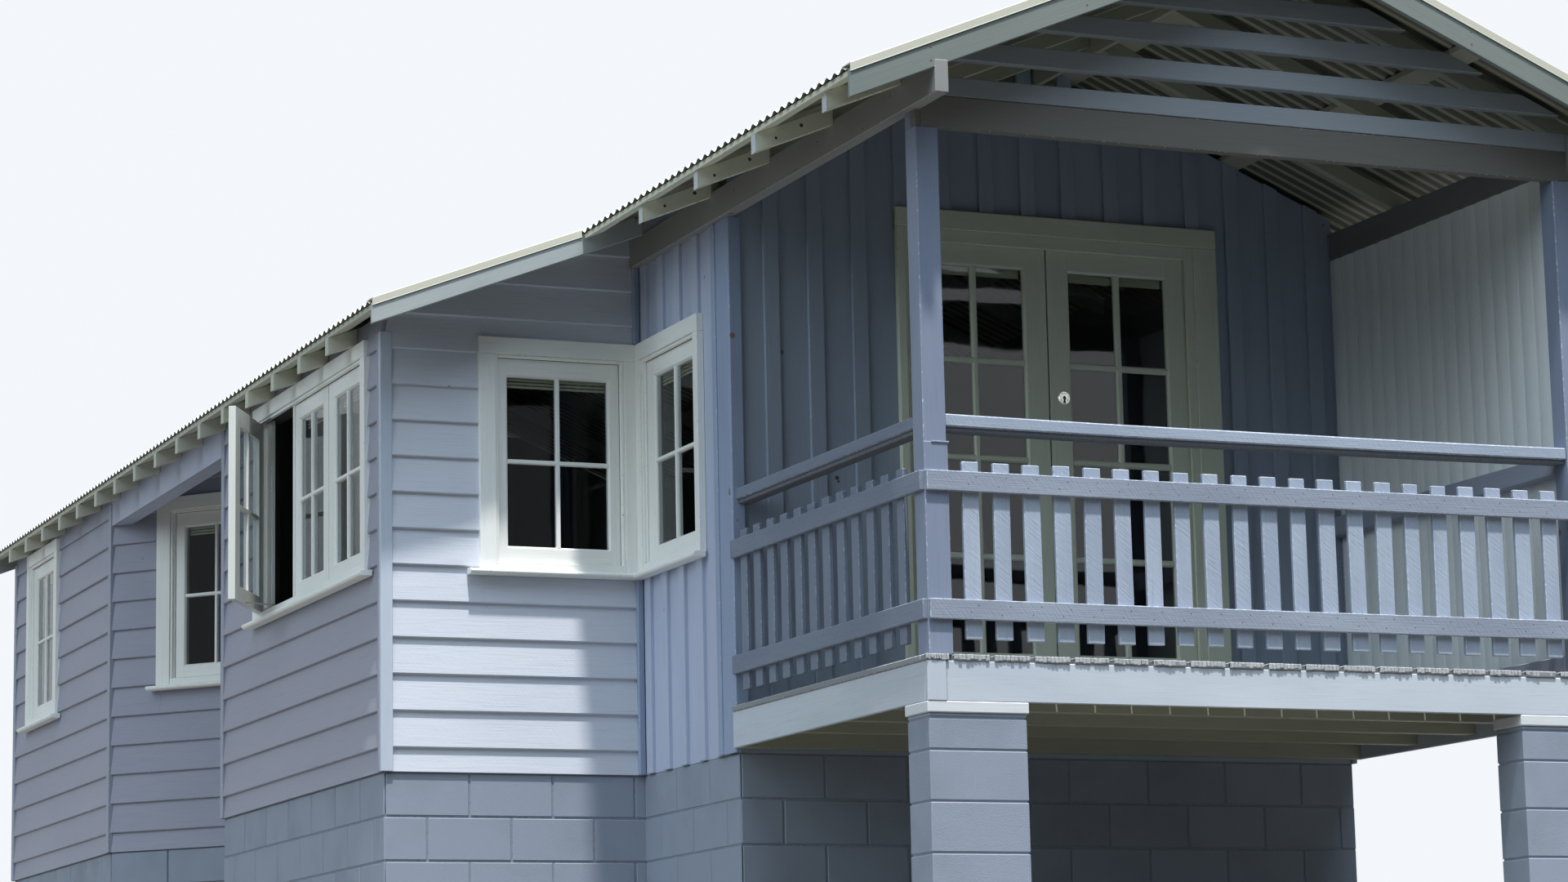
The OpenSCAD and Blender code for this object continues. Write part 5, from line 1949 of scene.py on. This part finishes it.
def bevelled(edge: float, glass: float, near: float, far: float, lip: float, sink: float,
             both: bool) -> list[Point]:
    """Gives a stile's section, bevelled towards its glass.

    Args:
        edge: Its outer edge.
        glass: Its edge at the glass.
        near: Its front face.
        far: Its rear face.
        lip: Width of the bevel.
        sink: Its depth.
        both: Whether the rear face is bevelled too.

    Returns:
        The section's corners.
    """
    shoulder = glass - (lip if glass > edge else -lip)
    rear = [(glass, far - sink), (shoulder, far)] if both else [(glass, far)]
    return [(edge, near), (shoulder, near), (glass, near + sink), *rear, (edge, far)]


@dataclass
class Window:
    """A window in its wall: x to the right as seen from outside, y inward from the boards' face, z up.

    Attributes:
        place: The window's frame.
        width: Width of the opening.
        casings: Widths of the left and right casings.
        head: Top of the casings.
        sill: Left and right ends of the sill.
        lights: Its fixed or shut sashes.
        open_z: Foot and top of the opening.
        glass_z: Foot and top of the glass.
        casing_t: How far the casings stand out.
        ledge: Top of the sill, its thickness and how far it stands out.
        bar: Width of a glazing bar.
        blind: Whether a rolled blind shows over the glass.
    """

    place: Matrix
    width: float
    casings: tuple[float, float] = (0.0, 0.0)
    head: float = 1.820
    sill: tuple[float, float] = (0.0, 0.0)
    lights: Sequence[Light] = ()
    open_z: tuple[float, float] = (0.770, 1.740)
    glass_z: tuple[float, float] = (0.848, 1.640)
    casing_t: float = 0.022
    ledge: tuple[float, float, float] = (0.734, 0.028, 0.062)
    bar: float = 0.021
    blind: bool = True

    def add(self, work: Joiner, panes: Joiner) -> None:
        """Adds the whole window to a piece, and its glass to another.

        Args:
            work: The joinery's piece.
            panes: The glass's piece.
        """
        self.casing(work)
        for light in self.lights:
            self.sash(work, light)
            self.pane(panes, light)

    def pane(self, panes: Joiner, light: Light, y: float = 0.006, deep: float = 0.036) -> None:
        """Adds the glass of one sash.

        Args:
            panes: The piece to add to.
            light: The sash.
            y: How far the sash's face stands back.
            deep: The sash's thickness.
        """
        lap, half, middle = 0.006, 0.0025, y + deep / 2
        lo = (light.start + light.left - lap, middle - half, self.glass_z[0] - lap)
        hi = (light.start + light.width - light.right + lap, middle + half, self.glass_z[1] + lap)
        panes.box(lo, hi, Axis.X, place=self.place)

    def casing(self, work: Joiner) -> None:
        """Adds the casings, their stepped inner edge and the sill.

        Args:
            work: The piece to add to.
        """
        (a, b), (z0, z1), w = self.casings, self.open_z, self.width
        top, sill_t, sill_out = self.ledge
        out, back, step, rim = -self.casing_t, 0.012, 0.014, 0.006
        for axis, lo, hi in (
                (Axis.Z, (-a, out, top), (0, back, z1)),
                (Axis.Z, (w, out, top), (w + b, back, z1)),
                (Axis.X, (-a, out - 0.001, z1 + 0.0005), (w + b, back, self.head)),
                (Axis.X, (0.001, out + 0.002, top), (w - 0.001, back, z0)),
                (Axis.Z, (0, -step, z0), (step, rim, z1)),
                (Axis.Z, (w - step, -step, z0), (w, rim, z1)),
                (Axis.X, (step, -step, z1 - step), (w - step, rim, z1))):
            work.box(lo, hi, axis, place=self.place)
        low = top - sill_t
        section = [(0.0, low), (0.0, top), (0.012 - sill_out, top - 0.002), (0.004 - sill_out, top - 0.006),
                   (-sill_out, top - sill_t / 2), (0.003 - sill_out, low + 0.005), (0.010 - sill_out, low)]
        work.bar(section, Axis.X, *self.sill, ease=0.002, place=self.place)

    def sash(self, work: Joiner, light: Light, y: float = 0.006, deep: float = 0.036,
             gap: float = 0.016) -> None:
        """Adds one sash with its putty bevels, its glazing bars and the frame beside it.

        Args:
            work: The piece to add to.
            light: The sash.
            y: How far its face stands back.
            deep: Its thickness.
            gap: Gap over it.
        """
        (z0, z1), (g0, g1) = self.open_z, self.glass_z
        x0, x1 = light.start, light.start + light.width
        a, b, far = x0 + light.left, x1 - light.right, y + deep
        put = {"place": self.place}
        for jamb, lo, hi in ((light.jamb_left, x0, x0 + light.jamb_left),
                             (light.jamb_right, x1 - light.jamb_right, x1)):
            if jamb:
                work.box((lo, y - 0.006, z0), (hi, far, z1), Axis.Z, **put)
        play, lip, sink = 0.004, 0.009, 0.011
        left, right = x0 + (light.jamb_left or 0.0015) + play, x1 - (light.jamb_right or 0.0015) - play
        low, high = z0 + play, z1 - gap
        for edge, glass in ((left, a), (right, b)):
            section = bevelled(edge, glass, y, far, lip, sink, False)
            work.bar(section, Axis.Z, low, high, ease=0.0012, **put)
        for edge, glass in ((low, g0), (high, g1)):
            section = swapped(bevelled(edge, glass, y, far, lip, sink, False))
            work.bar(section, Axis.X, a - lip, b + lip, ease=0.0012, **put)
        half, thin = self.bar / 2, 0.007
        for axis, start, stop, middle, less in ((Axis.Z, g0, g1, (a + b) / 2, 0.0),
                                                (Axis.X, a, b, (g0 + g1) / 2, 0.0002)):
            front, rear = y + 0.002 + less, far - 0.004 - less
            section = [(middle - thin, front), (middle + thin, front), (middle + half, y + sink),
                       (middle + half, rear),
                       (middle - half, rear), (middle - half, y + sink)]
            section = section if axis is Axis.Z else swapped(section)
            work.bar(section, axis, start - 0.002, stop + 0.002, ease=0.001, **put)
        if self.blind:
            for low, high in ((-0.044, -0.032), (-0.028, -0.016), (-0.012, 0.03)):
                work.box((a - 0.004, far + 0.012, g1 + low), (b + 0.004, far + 0.016, g1 + high), Axis.X,
                         slot=1, **put)


@dataclass
class Windows:
    """Every window of the house, from its measured sizes.

    Attributes:
        casing: Width of a plain casing.
        front_w: Width of the corner window's opening in front.
        side_w: Width of its opening at the side.
        sash_w: Width of each of the three casements in a row.
        row_casing: Width of the row's casings.
        nook: Place along the nook's slanted wall and width of its window.
        rear: Place before the rear wall's end and width of the rear window.
        open_deg: How far the open casement stands open.
    """

    plan: Plan
    casing: float = 0.076
    front_w: float = 0.635
    side_w: float = 0.671
    sash_w: float = 0.600
    row_casing: float = 0.066
    nook: tuple[float, float] = (0.430, 0.602)
    rear: tuple[float, float] = (0.416, 0.700)
    open_deg: float = 29.0

    def build(self) -> None:
        """Builds the windows, the open casement and its stay, and finishes the glass."""
        p, casing, sash = self.plan, self.casing, self.sash_w
        panes = Joiner("window_panes", 76, ease=0.0004)
        head = span("window_row")[1].z
        work = Joiner("corner_window_joinery", 71, ease=0.0022)
        Window(Matrix.Translation((-casing - self.front_w, p.lean_y, 0)), self.front_w, (0.079, casing),
               sill=(-0.139, self.front_w + casing), lights=[Light(0, self.front_w, 0.067, 0.075, 0.0, 0.016)]
               ).add(work, panes)
        Window(turned(0, p.lean_y - casing, -90, 0.0003), self.side_w, (casing - 0.0223, 0.054),
               sill=(-casing + 0.0623, 0.745), lights=[Light(0, self.side_w, 0.120, 0.050)]).add(work, panes)
        work.build("window_corner", TRIM, BLIND)

        row = turned(p.lean_x, p.nook_y0 - p.row_gap, -90)
        lights = [Light(sash, sash, 0.098, 0.098, jamb_right=0.0),
                  Light(2 * sash, sash, 0.098, 0.098, jamb_left=0.0)]
        work = Joiner("casement_row_joinery", 72, ease=0.0022)
        wide = 3 * sash
        Window(row, wide, (self.row_casing, self.row_casing), head, (-0.126, wide + 0.126), lights
               ).add(work, panes)
        work.box((0, -0.006, 0.77), (0.014, 0.05, 1.74), Axis.Z, place=row)
        work.box((0.0145, 0.030, 0.77), (0.105, 0.050, 1.74), Axis.Z, place=row)
        work.build("window_row", TRIM, BLIND)

        swung = row @ turned(0.030, -0.024, -self.open_deg, -0.008)
        casement, light = Window(swung, 0.595, blind=False), Light(0, 0.595, 0.098, 0.098, 0.0, 0.0)
        work = Joiner("open_casement_joinery", 73, ease=0.0022)
        casement.sash(work, light, y=0.0, gap=0.012)
        casement.pane(panes, light, y=0.0)
        # The open casement's greyer paint is painted shade.
        work.build("sash_open", SASH_SHADE)
        self.stay(row, swung)

        work = Joiner("rear_windows_joinery", 74, ease=0.0022)
        at, wide = self.nook
        slanted = turned(p.lean_x, p.nook_y1, -p.slant_deg) @ Matrix.Translation((at, -0.0003, 0))
        Window(slanted, wide, (0.095, 0.095), sill=(-0.140, wide + 0.140), lights=[Light(0, wide, 0.092, 0.092)]
               ).add(work, panes)
        at, wide = self.rear
        Window(turned(p.lean_x, p.rear_y - at - casing, -90), wide, (casing, casing), head,
               (-0.136, wide + 0.136),
               [Light(0, wide, 0.110, 0.110)]).add(work, panes)
        work.build("windows_rear", TRIM, BLIND)
        panes.build("window_glass", GLASS)
        for node in ("glass_left", "glass_right"):
            repaint(node, DOOR_GLASS.material())

    def stay(self, fixed: Matrix, swung: Matrix) -> None:
        """Builds the dark stay that holds the open casement at its foot, and its two sliding arms.

        Args:
            fixed: Frame of the row of windows.
            swung: Frame of the open sash.
        """
        work = Joiner("casement_stay", 75, ease=0.001)
        a = swung @ Vector((0.40, 0.012, 0.786))
        way = fixed @ Vector((0.30, 0.010, 0.776)) - a
        work.bar(rect(-0.007, -0.003, 0.007, 0.003), Axis.Z, -0.03, way.length + 0.02, place=facing(a, way))
        for z in (0.772, 1.726):
            work.box((0.03, -0.018, z), (0.24, -0.004, z + 0.006), Axis.X, place=fixed)
        work.build("sash_open", HINGE, stands=False)


@dataclass
class Doors:
    """The glazed double doors, their frame, hinges and lock.

    Attributes:
        leaf: Width, thickness and height of a leaf.
        foot: Height of the leaves' feet.
        gap: Gap round the leaves.
        meet: Gap between them.
        left_x: Hinge edge of the left leaf.
        hinge_stile: Width of the stile at the hinges.
        meet_stile: Width of the stile where the leaves meet.
        top_rail: Height of the top rail.
        low_rail: Height of the bottom rail.
        bar: Width of a glazing bar.
        lock_radius: Radius of the lock's plate.
    """

    plan: Plan
    leaf: tuple[float, float, float] = (0.720, 0.040, 2.118)
    foot: float = 0.032
    gap: float = 0.006
    meet: float = 0.008
    left_x: float = 0.853
    hinge_stile: float = 0.105
    meet_stile: float = 0.114
    top_rail: float = 0.105
    low_rail: float = 0.238
    bar: float = 0.030
    lock_radius: float = 0.030

    def build(self) -> None:
        """Builds the frame and the two leaves."""
        y = self.plan.door_y + self.gap
        right_x = self.left_x + 2 * self.leaf[0] + self.meet
        left = Matrix.Translation((self.left_x, y, self.foot))
        right = Matrix.Translation((right_x, y, self.foot)) @ Matrix.Scale(-1, 4, (1, 0, 0))
        self.frame(right_x)
        self.fixed_hinges((left, right))
        self.door("door_left", left, Body.LEFT)
        self.door("door_right", right, Body.RIGHT)
        self.lock(right)

    def frame(self, right_x: float) -> None:
        """Builds the casings, the lining and the threshold.

        Args:
            right_x: Hinge edge of the right leaf.
        """
        lo, hi = span("door_frame")
        lap, jamb, step, rise = 0.008, 0.030, 0.045, 0.0605
        left, right = self.left_x + lap, right_x - lap
        top, door_top = self.foot + self.leaf[2] - lap, self.foot + self.leaf[2] + self.gap
        face, back = lo.y, self.plan.door_y + 0.001
        near, far = self.plan.door_y, self.plan.door_y + self.plan.wall_t
        x0, x1 = self.left_x - self.gap, right_x + self.gap
        work = Joiner("door_casing_and_lining", 81, ease=0.003)
        for axis, low, high in (
                (Axis.Z, (lo.x, face, 0), (left - 0.006, back, top + 0.06)),
                (Axis.Z, (left - 0.008, face + 0.006, 0), (left, back, top)),
                (Axis.Z, (right + step, face, 0), (hi.x, back, top + 0.06)),
                (Axis.Z, (right + 0.0005, face + 0.006, 0), (right + step + 0.001, back, top + rise)),
                (Axis.X, (left - 0.048, face - 0.0008, top + rise), (right + 0.167, back, hi.z)),
                (Axis.X, (left - 0.006, face + 0.006, top), (right, back, top + rise)),
                (Axis.Z, (x0 - jamb, near, 0), (x0, far, door_top + jamb)),
                (Axis.Z, (x1, near, 0), (x1 + jamb, far, door_top + jamb)),
                (Axis.X, (x0, near, door_top), (x1, far, door_top + jamb)),
                (Axis.X, (x0, near, 0), (x1, far, self.foot - self.gap))):
            work.box(low, high, axis)
        work.build("door_frame", DOOR)

    def fixed_hinges(self, places: Sequence[Matrix]) -> None:
        """Builds the hinges' middle knuckles, which the frame carries.

        Args:
            places: Frames of the two leaves.
        """
        pins = Joiner("door_hinges_fixed", 82, ease=0.0006)
        for place in places:
            for z in self.hinges():
                self.knuckle(pins, place, z + 0.0336, 0.0327)
                pins.box((-self.gap - 0.001, 0.047, z + 0.0336), (0.001, 0.053, z + 0.0663), Axis.Z,
                         place=place)
        pins.build("door_frame", HINGE, stands=False)

    def hinges(self) -> list[float]:
        """Gives the feet of a leaf's three hinges."""
        length, end, tall = 0.100, 0.180, self.leaf[2]
        return [end, (tall - length) / 2, tall - end - length]

    def knuckle(self, work: Joiner, place: Matrix, z: float, length: float) -> None:
        """Adds one round knuckle on the hinge's axis."""
        work.bar(round_outline(0.001, 0.047, 0.006, 16), Axis.Z, z, z + length, place=place)

    def door(self, name: str, place: Matrix, body: Body) -> None:
        """Builds one leaf with its glazing bars and its own knuckles.

        Args:
            name: The CAD node that it replaces.
            place: The leaf's frame, with x from its hinge edge.
            body: The body that it rides on.
        """
        wide, deep, tall = self.leaf
        a, b = self.hinge_stile, wide - self.meet_stile
        z0, z1 = self.low_rail, tall - self.top_rail
        lip, sink, put = 0.008, 0.010, {"place": place}
        work = Joiner(f"{name}_joinery", 83, ease=0.0022)
        for edge, glass in ((0.0, a), (wide, b)):
            work.bar(bevelled(edge, glass, 0, deep, lip, sink, True), Axis.Z, 0, tall, ease=0.0015, **put)
        for edge, glass in ((0.0, z0), (tall, z1)):
            section = swapped(bevelled(edge, glass, 0, deep, lip, sink, True))
            work.bar(section, Axis.X, a - lip, b + lip, ease=0.0015, **put)
        half, thin, y, back = self.bar / 2, 0.008, 0.003, deep - sink
        section = [(-thin, y), (thin, y), (half, sink), (half, back), (thin, deep - y), (-thin, deep - y),
                   (-half, back),
                   (-half, sink)]
        middle = (a + b) / 2
        work.bar([(middle + u, v) for u, v in section], Axis.Z, z0 - 0.002, z1 + 0.002, ease=0.001, **put)
        pane = (z1 - z0 - 3 * self.bar) / 4
        for k in range(1, 4):
            z = z0 + k * (pane + self.bar) - half
            level = [(v + (0.0003 if v < deep / 2 else -0.0003), z + u) for u, v in section]
            work.bar(level, Axis.X, a - 0.002, b + 0.002, ease=0.001, **put)
        blind = deep + 0.004
        work.box((a + 0.004, blind, z1 - 0.038), (b - 0.004, blind + 0.002, z1 + 0.02), Axis.X, slot=1, **put)
        for z in (z + end for z in self.hinges() for end in (0.0, 0.0667)):
            self.knuckle(work, place, z, 0.0333)
            work.box((0.001, deep, z), (0.031, deep + 0.003, z + 0.0333), Axis.Z, slot=2, ease=0.0006, **put)
        work.build(name, DOOR, BLIND, HINGE, body=body)

    def lock(self, place: Matrix) -> None:
        """Builds the round lock plate, with a near-black disc and slot on its face for the keyhole: painted
        shade of a hole.

        Args:
            place: Frame of the right leaf.
        """
        x, z = self.leaf[0] - 0.069, 1.423
        radius = self.lock_radius
        work = Joiner("door_lock", 84)
        for less, sides, out, back, ease, slot in (
                (0.0, 36, -0.0040, 0.0005, 0.0012, 0), (0.003, 36, -0.0052, -0.0035, 0.0014, 0),
                (0.009, 36, -0.0057, -0.0048, 0.0005, 2), (0.0105, 36, -0.0059, -0.0050, 0.0004, 0),
                (0.0215, 20, -0.00598, -0.0052, 0.0001, 1)):
            outline = round_outline(x, z, radius - less, sides)
            work.bar(outline, Axis.Y, out, back, place=place, ease=ease, slot=slot)
        low = z - radius + 0.005
        keyway = [(x - 0.0045, z - 0.004), (x - 0.0065, low), (x + 0.0065, low), (x + 0.0045, z - 0.004)]
        work.bar(keyway, Axis.Y, -0.00596, -0.0045, place=place, ease=0.0001, slot=1)
        for k in (-1, 1):
            at = place @ Vector((x + k * 0.021, -0.0052, z + 0.006))
            work.stud(at, Vector((0, -1, 0)), 0.0022, 0.0006, slot=2)
        work.build("door_right", LOCK, KEYHOLE_SHADE, HINGE, body=Body.RIGHT, stands=False)


@dataclass(frozen=True)
class Lamp:
    """One far lamp.

    Attributes:
        name: Its name.
        energy: Its strength.
        spread: Its width as seen from the house, in degrees.
        colour: Its colour.
        height: Its height over the horizon, in degrees.
        left: How far left of the gable's front it stands, in degrees.
    """

    name: str
    energy: float
    spread: float
    colour: Colour
    height: float
    left: float

    def hang(self) -> None:
        """Hangs the lamp."""
        data = bpy.data.lights.new(self.name, "SUN")
        data.energy, data.angle, data.color = self.energy, math.radians(self.spread), self.colour
        up, side = math.radians(self.height), math.radians(self.left)
        way = Vector((math.sin(side) * math.cos(up), math.cos(side) * math.cos(up), -math.sin(up)))
        show(self.name, data).rotation_euler = way.to_track_quat("-Z", "Y").to_euler()


@dataclass(frozen=True)
class Studio:
    """The pale floor, the lamps, the surround and the camera at the photograph's place.

    Attributes:
        camera: The camera's place in the shared frame.
        yaw: Its turn from +Y towards +X.
        pitch: Its tilt upward.
        roll: Its roll.
        focal_px: Its focal length in pixels of a picture 1920 wide.
        picture: Width of that picture.
        floor_radius: Radius of the floor, small enough to stay out of that picture.
        floor_sides: How many sides its outline has.
        sky: Strength of the surround's light.
        lamps: A high sun and three wide cool lights: from the front, the left and behind on the right.
    """

    camera: tuple[float, float, float] = (-7.388, -19.156, -0.554)
    yaw: float = 23.12
    pitch: float = 9.81
    roll: float = -1.19
    focal_px: float = 4765.5
    picture: float = 1920.0
    floor_radius: float = 9.0
    floor_sides: int = 96
    sky: float = 0.04
    lamps: tuple[Lamp, ...] = (
        Lamp("key_light", 4.5, 2.5, (1.0, 0.97, 0.93), 71.8, 9.0),
        Lamp("sky_light", 1.9, 50.0, (0.70, 0.85, 1.0), 60.0, 0.0),
        Lamp("side_light", 1.3, 50.0, (0.74, 0.89, 1.0), 30.0, 70.0),
        Lamp("rear_light", 0.7, 60.0, (0.80, 0.90, 1.0), 35.0, -140.0))

    def build(self) -> None:
        """Builds the studio."""
        self.view()
        for lamp in self.lamps:
            lamp.hang()
        self.surround()
        self.floor()
        bpy.context.scene.view_settings.view_transform = "Standard"

    def view(self) -> None:
        """Sets up the camera."""
        yaw, pitch, roll = (math.radians(a) for a in (self.yaw, self.pitch, self.roll))
        ahead = Vector((math.sin(yaw) * math.cos(pitch), math.cos(yaw) * math.cos(pitch), math.sin(pitch)))
        right = Vector((math.cos(yaw), -math.sin(yaw), 0))
        up = right.cross(ahead)
        right, up = right * math.cos(roll) + up * math.sin(roll), up * math.cos(roll) - right * math.sin(roll)
        data = bpy.data.cameras.new("photo_view")
        data.sensor_width = 36.0
        data.lens = self.focal_px / self.picture * data.sensor_width
        data.clip_end = 200.0
        camera = show("photo_view", data)
        turn = Matrix((right, up, -ahead)).transposed().to_4x4()
        camera.matrix_world = Matrix.Translation(self.camera) @ turn
        bpy.context.scene.camera = camera

    def surround(self) -> None:
        """Sets up the surround, pale where it is seen and faint in the light that it gives."""
        g = Graph("pale_surround", world=True)
        faint = g.node("ShaderNodeBackground", {"Color": (0.64, 0.81, 1.0, 1.0), "Strength": self.sky})
        pale = g.node("ShaderNodeBackground", {"Color": (0.90, 0.93, 0.97, 1.0), "Strength": 1.0})
        mix = g.node("ShaderNodeMixShader", {"Fac": g.seen(), 1: faint.outputs[0], 2: pale.outputs[0]})
        g.tree.links.new(mix.outputs[0], g.output.inputs["Surface"])
        bpy.context.scene.world = g.owner

    def floor(self) -> None:
        """Lays the pale round floor."""
        ring = round_outline(0, 0, self.floor_radius, self.floor_sides)
        mesh = bpy.data.meshes.new("studio_floor")
        mesh.from_pydata([(x, y, 0.0) for x, y in ring], [], [tuple(range(self.floor_sides))])
        mesh.materials.append(STUDIO_FLOOR.material())
        show("studio_floor", mesh)


def main() -> None:
    """Builds the house and its studio."""
    logging.basicConfig(level=logging.INFO, format="%(message)s")
    plan, roof = Plan.read(), RoofForm.read()
    Studio().build()
    Base(plan).build()
    Veranda(plan, roof).build()
    RoofTimbers(plan, roof).build()
    RoofCover(roof).build()
    Cladding(plan, roof).build()
    Windows(plan).build()
    Doors(plan).build()


if __name__ == "__main__":
    main()
